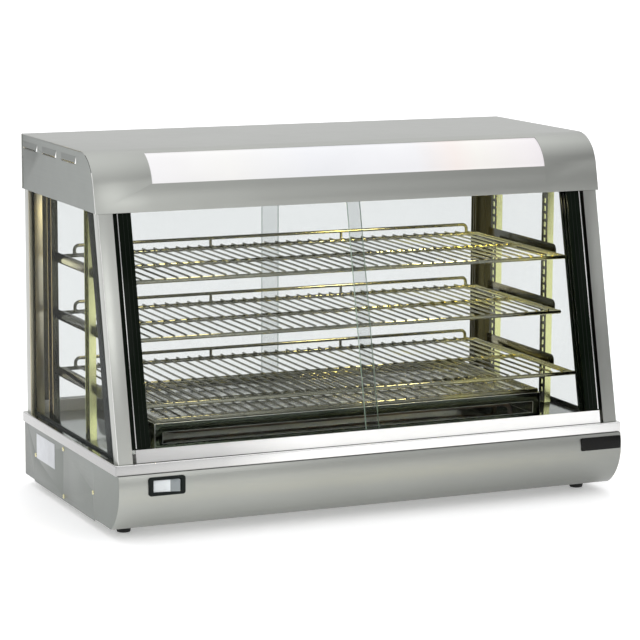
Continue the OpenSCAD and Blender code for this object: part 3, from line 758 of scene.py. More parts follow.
def matte_black():
    """Black plastic of the controls and the side seals, also used as painted shade in the canopy rim's gap."""
    return moulded("black_matte", (0.008, 0.011, 0.010), 0.5, strength=0.25, shine=0.12)


def rubber_black():
    """Rubber of the feet, also used for the painted-shade strip under the front track."""
    return moulded("rubber_black", (0.012, 0.012, 0.012), 0.7, 700.0, 0.4)


def ceramic_white():
    """Glazed lamp sockets and the terminal block."""
    return moulded("ceramic_white", (0.80, 0.79, 0.75), 0.3, 300.0, 0.1, 0.3)


def label_pale():
    """The blank label and the knob's pointer."""
    return moulded("label_pale", (0.55, 0.57, 0.60), 0.35, 300.0, 0.05, 0.3)


# ---------- sizes and colours ----------


class DisplayCaseSettings(bpy.types.PropertyGroup):
    """Sizes, colours and lights of the display case's finished look."""

    steel_colour: bpy.props.FloatVectorProperty(
        name="Steel",
        description="Colour of the casing and canopy",
        subtype="COLOR",
        default=(0.40, 0.41, 0.385),
    )
    # Painted shade: the sides' steel is kept darker than the casing's front steel.
    side_shade_colour: bpy.props.FloatVectorProperty(
        name="Side steel",
        description="Colour of the casing's sides",
        subtype="COLOR",
        default=(0.235, 0.25, 0.235),
    )
    trim_colour: bpy.props.FloatVectorProperty(
        name="Trim steel",
        description="Colour of the posts and the ceiling",
        subtype="COLOR",
        default=(0.50, 0.51, 0.48),
    )
    polished_colour: bpy.props.FloatVectorProperty(
        name="Polished steel",
        description="Colour of polished inner parts",
        subtype="COLOR",
        default=(0.72, 0.68, 0.42),
    )
    bright_colour: bpy.props.FloatVectorProperty(
        name="Bright steel",
        description="Colour of the deck's rim and the doors' trim",
        subtype="COLOR",
        default=(0.86, 0.86, 0.85),
    )
    deck_colour: bpy.props.FloatVectorProperty(
        name="Deck",
        description="Colour of the deck inside the cabin",
        subtype="COLOR",
        default=(0.60, 0.62, 0.58),
    )
    # Painted shade: the heater cover's walls are given this near-black colour.
    heater_shade_colour: bpy.props.FloatVectorProperty(
        name="Heater steel",
        description="Colour of the heater's cover",
        subtype="COLOR",
        default=(0.055, 0.065, 0.048),
    )
    wire_colour: bpy.props.FloatVectorProperty(
        name="Wire",
        description="Colour of the plated wire",
        subtype="COLOR",
        default=(0.27, 0.27, 0.22),
    )
    glass_tint: bpy.props.FloatVectorProperty(
        name="Glass",
        description="Tint of the glass",
        subtype="COLOR",
        default=(0.885, 0.893, 0.892),
    )
    edge_radius: bpy.props.FloatProperty(
        name="Edge radius",
        description="Rounding of folded sheet edges",
        unit="LENGTH",
        default=0.5 * MM,
    )
    wire_sides: bpy.props.IntProperty(
        name="Wire sides",
        description="Sides of a shelf wire's section",
        default=10,
        min=6,
        max=32,
    )
    panel_light: bpy.props.FloatProperty(
        name="Panel light",
        description="Brightness of the opal panel",
        default=0.72,
        min=0,
    )
    lamp_light: bpy.props.FloatProperty(
        name="Lamp light",
        description="Brightness of the lamps",
        default=12.0,
        min=0,
    )
    studio_light: bpy.props.FloatProperty(
        name="Studio light",
        description="Power of the key light",
        unit="POWER",
        default=6.0,
        min=0,
    )
    surround: bpy.props.FloatProperty(
        name="Surround",
        description="Brightness of the studio's surround",
        default=0.95,
        min=0,
    )


# ---------- canopy ----------


def canopy_skin():
    """The bent sheet of the canopy, with its long window."""
    centre = (canopy_y, canopy_z, canopy_radius)
    top_light = 90 + 22
    rear, top, low = shell_high.y, shell_high.z, shell_low.z
    fold = 2.5 * MM
    side = [(rear, low), (rear, top - fold)] + bend(rear - fold, top - fold, fold, 0, 90, 4)[1:]
    side += bend(*centre, 90, top_light, 8) + bend(*centre, top_light, canopy_end, 20)[1:]
    side += [(shell_low.y, low)]
    window = 355.5 * MM
    skin = drawn("canopy_skin", [(-shell_high.x, y, z) for y, z in side], closed=False)
    edges = (-shell_high.x, -window, window, shell_high.x)
    pushed(skin, *[(b - a, 0, 0) for a, b in zip(edges, edges[1:])])
    edit(skin, "FACE")
    high_z = canopy_z + canopy_radius * math.sin(math.radians(top_light))
    low_z = canopy_z + canopy_radius * math.sin(math.radians(canopy_end))

    def in_window(c, face):
        return abs(c.x) < window - 10 * MM and c.y < canopy_y and low_z < c.z < high_z

    choose(skin, "FACE", in_window)
    bpy.ops.mesh.delete(type="FACE")
    facing_away(skin, (0, 0, low))
    thickened(skin)
    softened(skin, 0.45 * MM, 2)
    placed(skin, "canopy_shell", case_steel("X"), edge_highlight_steel(), matte_black())
    # Painted light on the canopy's cut edge at each end: painted shade just under the top, a painted highlight
    # lower down.
    brushed, bright, dark = range(3)
    for face in skin.data.polygons:
        rim = abs(face.center.x) > shell_high.x - 0.9 * MM and face.center.y < canopy_y
        drop = top - face.center.z
        face.material_index = brushed if not rim or drop < 5 * MM else dark if drop < 30 * MM else bright


def louvre_hood(x, y, z, length):
    """A pressed hood, open below, that fades into the panel at its top and slopes in at its ends."""
    out, tall, ramp = 2.3 * MM, 12 * MM, 4 * MM
    hood = block("hood", (x - 0.6 * MM, y, z), (x + out, y + length, z + tall))
    edit(hood)
    choose(hood, "VERT", lambda c, v: c.x > x and c.z > z + tall / 2)
    bpy.ops.transform.translate(value=(-out, 0, 0))
    choose(hood, "VERT", lambda c, v: c.x > x + 1e-4 and c.y > y + length / 2)
    bpy.ops.transform.translate(value=(0, -ramp, 0))
    choose(hood, "VERT", lambda c, v: c.x > x + 1e-4 and c.y < y + length / 2)
    bpy.ops.transform.translate(value=(0, 0.8 * MM, 0))
    outwards(hood)
    return softened(hood, 0.5 * MM, 2, 30, 20)


def canopy_ends():
    """The canopy's end panels with three pressed louvres each."""
    low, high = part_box("canopy_end_right")
    plate_x = shell_high.x - 1.3 * MM
    side = [(high.y, low.z), (high.y, shell_high.z - 1.5 * MM)]
    side += bend(canopy_y, canopy_z, canopy_radius - 2.3 * MM, 90, canopy_end, 24) + [(low.y, low.z)]
    plate = prism("end", [(plate_x - sheet, y, z) for y, z in side], (sheet, 0, 0))
    louvre_z = shell_high.z - 25 * MM
    louvre_long, louvre_step = 76 * MM, 101 * MM
    starts = [shell_high.y - 8 * MM - louvre_long - i * louvre_step for i in range(3)]
    slots = []
    for start in starts:
        near, far = start + 3 * MM, start + louvre_long - 3 * MM
        slots.append(block("slot", (low.x, near, louvre_z), (high.x, far, louvre_z + 2.4 * MM)))
    carved(plate, *slots)
    softened(plate, 0.25 * MM, 1)
    hoods = [louvre_hood(plate_x, start, louvre_z + 1.2 * MM, louvre_long) for start in starts]
    throats = []
    for start in starts:
        near = (plate_x - 2 * MM, start + 1.5 * MM, louvre_z)
        far = (plate_x + 2.2 * MM, start + louvre_long - 7 * MM, louvre_z + 3 * MM)
        throats.append(block("throat", near, far))
    hoods = [carved(hood, throat) for hood, throat in zip(hoods, throats)]
    right = shaded(joined("canopy_end_panel_right", [plate] + hoods))
    left = another(right, "canopy_end_panel_left", mirror_x)
    for piece, node in ((right, "canopy_end_right"), (left, "canopy_end_left")):
        placed(piece, node, side_shade_steel(), edge_highlight_steel())
        # The louvre hoods' front ends take a painted highlight.
        for face in piece.data.polygons:
            proud = abs(face.center.x) > plate_x + 0.2 * MM
            face.material_index = 1 if proud and face.normal.y < -0.5 else 0


def opal_cover():
    """The curved opal cover behind the canopy's window."""
    low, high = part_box("light_panel")
    side = bend(canopy_y, canopy_z, canopy_radius - sheet - 0.3 * MM, 98, canopy_end, 24)
    down = Vector((0, -math.sin(lean), -math.cos(lean))) * 9.5 * MM
    side.append((side[-1][0] + down.y, side[-1][1] + down.z))
    cover = drawn("opal_cover", [(low.x, y, z) for y, z in side], closed=False)
    pushed(cover, (high.x - low.x, 0, 0))
    facing_away(cover, (0, canopy_y, canopy_z - 20 * MM))
    thickened(cover, 3 * MM)
    softened(cover, 0.3 * MM, 1)
    placed(cover, "light_panel", opal_light())


def liner():
    """The cabin's ceiling sheet."""
    piece = softened(from_node("ceiling_liner"), 0.3 * MM, 1)
    placed(piece, "ceiling_liner", trim_steel("X"))


def lamps():
    """Tubular bulbs with a rounded end and a ridged cap, in white sockets on brackets."""
    low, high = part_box("lamps")
    z, y = (low.z + high.z) / 2, (low.y + high.y) / 2
    start = high.x - 118 * MM
    outline = [(0, 0), (5, 1.2), (9, 4), (11.4, 9), (12, 14), (12, 78), (10.5, 86), (9.2, 91), (9, 92)]
    outline += [(9 - 0.35 * (i % 2), 92 + i) for i in range(1, 25)] + [(6, 118), (0, 118)]
    bulb = lathe("bulb_right", [(r * MM, t * MM) for r, t in outline], 40)
    cap_start = 92 * MM
    for face in bulb.data.polygons:
        face.material_index = 0 if face.center.z < cap_start else 1
    set_down(shaded(bulb), (start, y, z), (1, 0, 0))
    right = joined("lamps_pair", [bulb, another(bulb, "bulb_left", mirror_x)])
    placed(right, "lamps", lamp_glow(), polished_steel("X"))
    holders = softened(from_node("lamp_holders"), 0.5 * MM, 2)
    placed(holders, "lamp_holders", ceramic_white())


# ---------- base ----------


def fascia_skin():
    """The rounded front casing: one sheet with formed ends."""
    bulge = fascia_low.y
    radius = 80 * MM
    cy, cz = bulge + radius, fascia_low.z + 70 * MM
    start = 180 - math.degrees(math.asin((fascia_high.z - cz) / radius))
    end = 180 + math.degrees(math.asin((cz - fascia_low.z) / radius))
    floor_back = front_y + 60 * MM
    side = bend(cy, cz, radius, start, end, 30)
    side += [(floor_back, fascia_low.z), (fascia_high.y, fascia_low.z), (fascia_high.y, fascia_high.z)]
    width = fascia_high.x - fascia_low.x
    skin = prism("fascia_skin", [(fascia_low.x, y, z) for y, z in side], (width, 0, 0))
    edit(skin, "FACE")

    def hidden(c, face):
        """The open back and top, and the floor behind the bend."""
        back = abs(c.y - fascia_high.y) < close
        top = face.normal.z > 0.9 and abs(c.z - fascia_high.z) < close
        under = face.normal.z < -0.9 and c.y > floor_back and abs(c.z - fascia_low.z) < close
        return back or top or under

    choose(skin, "FACE", hidden)
    bpy.ops.mesh.delete(type="FACE")
    choose(skin, "EDGE", lambda c, e: abs(abs(c.x) - fascia_high.x) < close and len(e.link_faces) == 2)
    bpy.ops.mesh.bevel(offset=1.2 * MM, segments=3)
    facing_away(skin, (0, fascia_high.y, (fascia_low.z + fascia_high.z) / 2))
    thickened(skin)
    flange = block(
        "flange",
        (fascia_low.x + 2 * MM, front_y + 1 * MM, fascia_high.z - sheet),
        (fascia_high.x - 2 * MM, front_y + 18 * MM, fascia_high.z),
    )
    centre = hinges["front_switch_rock"]
    cut = block(
        "cut",
        (centre.x - 28 * MM, bulge - 5 * MM, centre.z - 12.5 * MM),
        (centre.x + 28 * MM, bulge + 30 * MM, centre.z + 12.5 * MM),
    )
    carved(skin, cut)
    skin = shaded(joined("fascia_skin", [skin, flange]), 30)
    # The formed ends take the side steel's painted shade.
    placed(skin, "fascia", case_steel("X"), side_shade_steel())
    for face in skin.data.polygons:
        face.material_index = 1 if abs(face.normal.x) > 0.8 else 0


def deck_tray():
    """The polished deck with its turned-down, rounded rim."""
    tray = block("deck_tray", deck_low, deck_high)
    edit(tray)
    choose(tray, "EDGE", lambda c, e: abs(e.verts[0].co.z - e.verts[1].co.z) > 5 * MM)
    bpy.ops.mesh.bevel(offset=2.5 * MM, segments=5)
    choose(tray, "EDGE", lambda c, e: min(v.co.z for v in e.verts) > deck_high.z - close)
    bpy.ops.mesh.bevel(offset=1.6 * MM, segments=4)
    choose(tray, "FACE", lambda c, f: f.normal.z < -0.9)
    bpy.ops.mesh.delete(type="FACE")
    facing_away(tray, (0, 0, deck_low.z))
    thickened(tray)
    low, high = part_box("heating_elements")
    leg, span = high.x - 4 * MM, 56 * MM
    rows = [low.y + 4 * MM, low.y + 4 * MM + span, high.y - 4 * MM - span, high.y - 4 * MM]
    holes = [rod("hole", (leg, y, deck_z - 0.02), (leg, y, deck_z + 0.02), 4.6 * MM, 32) for y in rows]
    carved(tray, *holes)
    shaded(tray, 30)
    # The rim's bright steel carries a painted highlight right of the middle.
    placed(tray, "deck_plate", bright_steel("X"), deck_polish())
    for face in tray.data.polygons:
        x, y, z = face.center
        inner = abs(x) < half_width - 5 * MM and front_y + 4 * MM < y < rear_y - 4 * MM
        face.material_index = 1 if inner and z > deck_z - 0.1 * MM else 0


def side_panels():
    """The casing's flat sides."""
    for side in ("left", "right"):
        piece = softened(from_node("side_panel_" + side), 0.5 * MM, 2)
        # The left side takes the painted-shade side steel, the right side the casing's steel.
        placed(piece, "side_panel_" + side, case_steel("Y") if side == "right" else side_shade_steel())


def rear_and_floor():
    """The rear panel with its vents, and the base pan."""
    for node in ("rear_panel", "base_pan"):
        piece = from_node(node, flattened=False)
        shaded(softened(piece, 0.25 * MM, 1) if node == "rear_panel" else piece)
        placed(piece, node, case_steel("X"))


def feet():
    """Tapered rubber feet with a rounded tread and a groove."""
    low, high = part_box("feet")
    outline = [(7.1, 0.2), (7.4, 0), (10.2, 0), (10.9, 0.3), (11.2, 1.0), (11.7, 5.0)]
    outline += [(11.4, 5.4), (11.4, 6.4), (11.9, 6.8), (13.3, 14.6), (13.2, 15.6)]
    outline += [(12.8, 15.97), (3.3, 15.97), (3.3, 8), (7, 8), (7.1, 0.2)]
    foot = shaded(lathe("foot", [(r * MM, z * MM) for r, z in outline]))
    inset = 13.5 * MM
    spots = [(x, y) for x in (low.x + inset, high.x - inset) for y in (low.y + inset, high.y - inset)]
    placed(joined("feet_four", spread(foot, spots)), "feet", rubber_black())
    head = [(0, 4.8), (4.6, 4.8), (5.5, 5.4), (5.5, 7.9), (3, 7.9), (3, 25), (0, 25.0)]
    screw = shaded(lathe("screw", [(r * MM, z * MM) for r, z in head], 32))
    for blade in cross("slot", (0, 0, 4.8 * MM), 2.6 * MM, 0.8 * MM, 1.5 * MM):
        carved(screw, blade)
    screws = shaded(joined("foot_screws_four", spread(screw, spots)))
    placed(screws, "foot_screws", polished_steel("Z"))


def cross(name, at, reach, width, depth):
    """Two blades of a cross recess round a point."""
    x, y, z = at
    first = block(name, (x - reach, y - width / 2, z - depth), (x + reach, y + width / 2, z + depth))
    return [first, block(name, (x - width / 2, y - reach, z - depth), (x + width / 2, y + reach, z + depth))]


def case_screws():
    """Pan-head screws with a cross recess, in the casing's sides and rear."""
    side_x = fascia_high.x
    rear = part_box("rear_panel")[1].y
    foot = fascia_low.z
    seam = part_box("side_panel_left")[0].y
    head = [(0, -4.9), (2, -4.9), (2, 0.03), (3.9, 0.03), (3.8, 0.5), (3.3, 1.0), (2.2, 1.35), (0, 1.43)]
    screw = lathe("screw", [(r * MM, z * MM) for r, z in head], 28)
    for blade in cross("slot", (0, 0, 1.4 * MM), 1.9 * MM, 0.6 * MM, 0.9 * MM):
        carved(screw, blade)
    shaded(screw)
    on_side = [(rear - 209 * MM, foot + 85 * MM), (rear - 60 * MM, foot + 45 * MM)]
    on_side += [(rear - 209 * MM, foot + 4 * MM), (seam + 5.85 * MM, foot + 43 * MM)]
    copies = []
    for sign in (-1, 1):
        spots = [((sign * side_x, y, z), (sign, 0, 0)) for y, z in on_side]
        for z in (foot + 20 * MM, deck_z - 20 * MM):
            spots.append(((sign * (side_x - 12 * MM), rear, z), (0, 1, 0)))
        copies += [set_down(another(screw, "copy", unmoved), at, way) for at, way in spots]
    bpy.data.objects.remove(screw)
    placed(joined("case_screws_all", copies), "case_screws", polished_steel("X"))


def plates():
    """A blank dark nameplate on the rounded front and a blank pale label on the left side."""
    plate = shaded(softened(from_node("nameplate"), 0.3 * MM, 2), 30)
    dark = moulded("nameplate_dark", (0.004, 0.004, 0.004), 0.25, 500.0, 0.05, 0, 0.15)
    placed(plate, "nameplate", dark)
    label = softened(from_node("rating_label"), 0.12 * MM, 1)
    placed(label, "rating_label", label_pale())


# ---------- controls ----------


def switches():
    """Rocker switches: a rounded black frame and a hollow-faced paddle, pale with a painted highlight on its left
    part and grey with painted shade at its right end.
    """
    lit = moulded("rocker_painted_highlight", (0.72, 0.76, 0.78), 0.18, 200.0, 0.02, 0.5)
    grey = moulded("rocker_painted_shade", (0.23, 0.26, 0.27), 0.18, 200.0, 0.02, 0.6)
    for place, turn in (("front", 1), ("rear", -1)):
        centre = hinges[place + "_switch_rock"]
        node = place + "_switch_housing"
        low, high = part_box(node)
        face = low.y if turn > 0 else high.y
        reach = abs(face - centre.y)
        ring = [(x, -reach, z) for x, z in rounded_rectangle(62 * MM, 30 * MM, 4 * MM)]
        depth = reach - 3.53 * MM if turn < 0 else reach + 1.5 * MM
        bezel = prism("bezel", ring, (0, depth, 0))
        inner = block("inner", (-23.2 * MM, -0.03, -10.4 * MM), (23.2 * MM, 14 * MM, 10.4 * MM))
        box = block("box", (-27 * MM, 1 * MM - reach, -11.75 * MM), (27 * MM, 22 * MM, 11.75 * MM))
        modified(bezel, "BOOLEAN", object=box, operation="UNION", solver="EXACT")
        bpy.data.objects.remove(box)
        carved(bezel, inner)
        softened(bezel, 0.8 * MM, 3)
        pins = rod("pins", (0, 0, -11.2 * MM), (0, 0, 11.2 * MM), 1.55 * MM, 24)
        carved(bezel, pins)
        set_on(bezel, centre, turn)
        bezel.name = place + "_switch_frame"
        placed(bezel, node, matte_black())
        outline = [(-22, -5.5), (-18, -5.0), (6, -4.0), (18, -5.0), (22, -5.5), (20.5, 2.6), (-20.5, 2.6)]
        paddle = prism("paddle", [(x * MM, y * MM, -10 * MM) for x, y in outline], (0, 0, 20 * MM))
        softened(paddle, 0.9 * MM, 3, 25)
        pin = rod("pin", (0, 0, -10.9 * MM), (0, 0, 10.9 * MM), 1.5 * MM, 24)
        paddle = joined("paddle", [paddle, pin])
        paddle.data.materials.clear()
        paddle.data.materials.append(lit)
        paddle.data.materials.append(grey)
        # Painted highlight on the paddle's left part, painted shade on its right end.
        for polygon in paddle.data.polygons:
            polygon.material_index = 1 if polygon.center.x > 6 * MM else 0
        paddle.data.transform(Matrix.Rotation(math.radians(-8), 4, "Z"))
        set_on(shaded(paddle, 30), centre, turn)
        paddle.name = place + "_switch_paddle"
        placed(paddle, place + "_switch_rocker")


def set_on(piece, centre, turn):
    """Puts a switch piece on its pivot, facing the front, or the rear if turn is negative."""
    pick(piece)
    piece.matrix_world = Matrix.Translation(centre) @ Matrix.Rotation(0 if turn > 0 else math.pi, 4, "Z")
    return settle(piece)


def thermostat():
    """A fluted knob with a white pointer on its steel shaft, and the body behind the panel."""
    low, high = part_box("thermostat_knob")
    centre = (low + high) / 2
    radius = (high.x - low.x) / 2
    length = high.y - low.y
    outline = [(3.01, 0), (19.5, 0), (20.6, 0.4), (21, 1.2), (21, 3.6), (20.4, 4.6), (17.2, 5.2), (16.4, 6)]
    outline += [(15.1, 17), (14.4, 18.2), (13, 18.9), (9, 19), (0, 18.7)]
    points = [(r * MM * radius / 0.021, y * MM * length / 0.019) for r, y in outline]
    points += [(0, 11.0 * MM), (3.01 * MM, 11.0 * MM), (3.01 * MM, 0)]
    knob = lathe("thermostat_dial_knob", points, 64)
    flutes = []
    for i in range(18):
        angle = math.tau * (i + 0.5) / 18
        x, y = 17.6 * MM * math.cos(angle), 17.6 * MM * math.sin(angle)
        flutes.append(rod("flute", (x, y, 6.2 * MM), (x * 0.94, y * 0.94, 22 * MM), 1.7 * MM, 12))
    carved(knob, *flutes)
    softened(knob, 0.25 * MM, 1, 40)
    set_down(knob, (centre.x, low.y, centre.z), (0, 1, 0))
    placed(knob, "thermostat_knob", matte_black())
    pointer = block(
        "thermostat_pointer",
        (centre.x - 0.7 * MM, high.y - 1.2 * MM, centre.z + 4 * MM),
        (centre.x + 0.7 * MM, high.y - 0.02 * MM, centre.z + 13 * MM),
    )
    softened(pointer, 0.2 * MM, 2)
    added(pointer, "thermostat_knob", label_pale())
    shaft = from_node("thermostat_shaft")
    placed(shaded(shaft), "thermostat_shaft", polished_steel("Y"))
    body = softened(from_node("thermostat_body"), 0.6 * MM, 2)
    placed(body, "thermostat_body", matte_black())


def pilot_and_gland():
    """An amber lens in a thin collar, and the cable gland with its ribbed nut."""
    low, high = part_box("pilot_lamp")
    outline = [(0, -20.8), (5, -20.8), (5, 0.03), (7, 0.03), (7, 0.9), (6.6, 1.3), (5.6, 1.5)]
    outline += [(5.2, 2.6), (3.8, 3.6), (2, 3.95), (0, 4.02)]
    lens = shaded(lathe("pilot_lens", [(r * MM, y * MM) for r, y in outline], 40))
    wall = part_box("rear_panel")[1].y
    set_down(lens, ((low.x + high.x) / 2, wall, (low.z + high.z) / 2), (0, 1, 0))
    placed(lens, "pilot_lamp", moulded("lamp_amber", (0.75, 0.22, 0.03), 0.15, 200.0, 0.05, 0.7))
    low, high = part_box("cable_gland")
    middle = ((low.x + high.x) / 2, wall, (low.z + high.z) / 2)
    ring = [(4.5, -12), (8, -12), (8, 0.05), (9.5, 0.05), (9.5, 5.2), (9.3, 5.6), (9.3, 9.5)]
    ring += [(8.9, 11), (7.6, 12.7), (6.6, 13), (4.5, 13), (4.5, -12)]
    dome = shaded(lathe("dome", [(r * MM, y * MM) for r, y in ring], 48))
    ribs = []
    for i in range(16):
        angle = math.tau * i / 16
        x, y = 9.2 * MM * math.cos(angle), 9.2 * MM * math.sin(angle)
        ribs.append(rod("rib", (x, y, 5.4 * MM), (x * 0.97, y * 0.97, 10.2 * MM), 0.55 * MM, 8))
    nuts = []
    for start, end in ((0.03 * MM, 5 * MM), (-6.23 * MM, -1.23 * MM)):
        nut = rod("nut", (0, 0, start), (0, 0, end), 12 * MM, 6)
        bore = rod("bore", (0, 0, start - MM), (0, 0, end + MM), 7.9 * MM, 48)
        nuts.append(softened(carved(nut, bore), 0.5 * MM, 2, 40))
    gland = joined("cable_gland_set", [dome] + ribs + nuts)
    set_down(gland, middle, (0, 1, 0))
    placed(gland, "cable_gland", matte_black())
    terminals = softened(from_node("terminal_block"), 0.6 * MM, 2)
    placed(terminals, "terminal_block", ceramic_white())


# ---------- heater ----------


def heater():
    """The polished heater cover, its tube elements and the grid on top."""
    cover = softened(from_node("heater_cover", flattened=False), 0.5 * MM, 2)
    # Painted light on the cover: a near-white top, painted shade on the walls, a painted highlight on the rounded
    # edges.
    top = steel("stainless_heater_top_painted_light", (0.92, 0.93, 0.90), 0.24, "X", 0.05)
    placed(cover, "heater_cover", top, shade_polish(), edge_highlight_steel())
    for face in cover.data.polygons:
        steep = max(abs(face.normal.x), abs(face.normal.y))
        face.material_index = 0 if face.normal.z > 0.95 else 1 if steep > 0.99 else 2
    elements = shaded(from_node("heating_elements"))
    placed(elements, "heating_elements", dull_sheath())
    low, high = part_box("bottom_grid")
    grid = wire_grid("heater_grid", low, high, None)
    placed(grid, "bottom_grid", plated_wire())


# ---------- wire shelves ----------


def wire_grid(name, low, high, rail_top):
    """Frame rods with rounded ends, a middle rod and wires across, joined into one piece.
    low and high are the corners of its CAD box; rail_top is the back rail's top, or None."""
    look = bpy.context.scene.display_case
    thick, thin = 7 * MM, 3.6 * MM
    r = thick / 2
    x = high.x
    z = low.z + r
    front, back = low.y + r, high.y - r
    parts = []
    for y in (front, (front + back) / 2, back):
        parts.append(softened(rod("rod", (-x, y, z), (x, y, z), r, 16), 0.8 * MM, 2, 60))
    for side in (-1, 1):
        parts.append(rod("rod", (side * (x - r), front, z), (side * (x - r), back, z), r, 16))
    count = math.ceil((2 * x - thick) / (21 * MM))
    step = (2 * x - thick) / count
    wire_z = z + (thick + thin) / 2 - 0.8 * MM
    first_x, inset = -x + r + step, 0.6 * MM
    start, end = (first_x, low.y + inset, wire_z), (first_x, high.y - inset, wire_z)
    wire = rod("wire", start, end, thin / 2, look.wire_sides)
    softened(wire, 0.35 * MM, 1, 60)
    parts.append(repeated(wire, count - 1, (step, 0, 0)))
    if rail_top is not None:
        parts += back_rail(x, back, z, rail_top - r)
    grid = joined(name, parts)
    return shaded(grid, 50)


def back_rail(x, y, z, top):
    """The raised rail: a rod whose ends turn down in round bends, and two inner legs."""
    r, turn = 3 * MM, 8 * MM
    reach = x - 24.5 * MM
    angles = [math.pi / 2 * i / 6 for i in range(7)]
    rising = [(reach - turn * (1 - math.cos(a)), top - turn + turn * math.sin(a)) for a in angles]
    path = [(-reach, y, z)]
    path += [(-across, y, up) for across, up in rising]
    path += [(across, y, up) for across, up in reversed(rising)]
    path += [(reach, y, z)]
    parts = [tube("rail", path, r, 14)]
    for leg_x in (-reach / 3, reach / 3):
        parts.append(rod("leg", (leg_x, y, z), (leg_x, y, top), 2.5 * MM, 14))
    return parts


def tube(name, path, radius, sides):
    """A round tube along a path, made from a bevelled curve."""
    curve = bpy.data.curves.new(name, "CURVE")
    curve.dimensions = "3D"
    curve.bevel_depth = radius
    curve.bevel_resolution = max(1, sides // 4 - 1)
    curve.use_fill_caps = True
    line = curve.splines.new("POLY")
    line.points.add(len(path) - 1)
    for point, place in zip(line.points, path):
        point.co = (*place, 1)
    piece = bpy.data.objects.new(name, curve)
    bpy.context.scene.collection.objects.link(piece)
    pick(piece)
    bpy.ops.object.convert(target="MESH")
    return outwards(bpy.context.object)


def shelves():
    """Three wire shelves and their brackets."""
    for level in ("top", "middle", "lower"):
        low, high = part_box("shelf_" + level)
        grid = wire_grid("wire_shelf_" + level, low, high, high.z)
        placed(grid, "shelf_" + level, plated_wire())
        brackets = softened(from_node("shelf_brackets_" + level), 0.3 * MM, 2)
        placed(brackets, "shelf_brackets_" + level, reflection_band_polish("Y"))
        shaded(brackets, 30)


def uprights():
    """Slotted uprights: painted lamp light on the fronts and folds, painted shade on the sides, and a painted
    amber glow on the outer side at the rear left.
    """
    shaded_side, lit, painted_glow_side = range(3)
    rear_row = 80 * MM
    for side in ("left", "right"):
        piece = softened(from_node("uprights_" + side, flattened=False), 0.3 * MM, 1)
        # Painted amber glow for the rear left's outer faces.
        amber = steel("stainless_painted_amber_glow", (0.86, 0.66, 0.32), 0.26, "Z", 0.02, 0.2)
        placed(piece, "uprights_" + side, holed_steel(False), holed_steel(True), amber)
        for face in piece.data.polygons:
            folded = max(map(abs, face.normal)) < 0.98
            face.material_index = lit if face.normal.y < -0.7 or folded else shaded_side
            if side == "left" and face.center.y > rear_row:
                face.material_index = painted_glow_side if face.normal.x < -0.7 else shaded_side


# ---------- glazed cabin ----------


def posts():
    """Corner posts; their outer front corner is a rounded fold, with a painted highlight on the left post and the
    green glass-edge finish on the right one. The rear posts take a painted warm glow on the left and painted
    shadow on the right.
    """
    edge_radius = bpy.context.scene.display_case.edge_radius
    for place in ("front", "rear"):
        for side, sign in (("left", -1), ("right", 1)):
            node = f"{place}_post_{side}"
            piece = softened(from_node(node), edge_radius * (2 if place == "front" else 1), 3)
            # Painted light: a highlight on the front-left fold, glow and shadow on the rear posts.
            if place == "rear":
                other = glow_and_shadow_steel(side)
            else:
                other = edge_highlight_steel() if side == "left" else glass_edge()
            placed(piece, node, trim_steel("Z"), other)
            for face in piece.data.polygons:
                out = face.normal.x * sign
                if place == "front":
                    chosen = out > 0.25 and face.normal.y < -0.25
                else:
                    chosen = face.normal.y < (0.5 if side == "left" and out < 0.7 else -0.7)
                face.material_index = 1 if chosen else 0


def tracks():
    """The door tracks front and rear, and a black strip of painted shade in the gap below the lower front one."""
    for node in ("front_track_lower", "front_track_upper", "rear_track_lower", "rear_track_upper"):
        placed(softened(from_node(node), 0.5 * MM, 2), node, satin_track())
    gap_shade_end = 420 * MM
    # Painted shade: a black strip stands for the shadow in the gap between the track and the rim.
    seam = block("seam", (-gap_shade_end, 1.35 * MM, 0.1 * MM), (gap_shade_end, 3 * MM, 1.0 * MM))
    seam = turned_onto_slope(seam)
    seam.name = "front_track_gap_shade"
    added(seam, "front_track_lower", rubber_black())


def channels():
    """The door channels: ribbed black extrusions with a bright trim strip beside the post."""
    strip_x, strip_top = 417.5 * MM, 404 * MM
    rib_wide, rib_top = 1.1 * MM, 400 * MM
    for side in ("left", "right"):
        node = "front_channel_" + side
        placed(softened(from_node(node), 0.5 * MM, 2), node, door_black())
        low, high = (strip_x, 2.2 * MM, 24 * MM), (strip_x + 1.6 * MM, 7 * MM, strip_top)
        strip = block("channel_trim_" + side, low, high)
        strip = turned_onto_slope(softened(strip, 0.3 * MM, 2))
        ribs = []
        for rib_x in (401.5 * MM, 408.5 * MM):
            rib = block("rib", (rib_x, 2.6 * MM, 26 * MM), (rib_x + rib_wide, 3.4 * MM, rib_top))
            ribs.append(softened(rib, 0.25 * MM, 2))
        ribs = turned_onto_slope(joined("channel_ribs_" + side, ribs))
        if side == "left":
            strip, ribs = mirrored(strip), mirrored(ribs)
        # The trim strip's bright steel carries a painted highlight right of the middle.
        added(strip, node, bright_steel("Z"))
        added(ribs, node, moulded("black_rib", (0.004, 0.006, 0.004), 0.3, 300.0, 0.05, shine=0.12))
        node = "rear_channel_" + side
        # Painted shadow: the rear channels take the near-black painted-shadow steel.
        placed(softened(from_node(node), 0.5 * MM, 2), node, glow_and_shadow_steel("right"))


def pane(node, name, edge=None):
    """A sheet of glass with ground edges, or with the given finish on them."""
    piece = softened(from_node(node, name), 0.4 * MM, 2)
    placed(piece, node, clear_glass(), edge or glass_edge())
    broad = max(piece.data.polygons, key=lambda p: p.area).normal.copy()
    for polygon in piece.data.polygons:
        polygon.material_index = 0 if abs(polygon.normal.dot(broad)) > 0.9 else 1


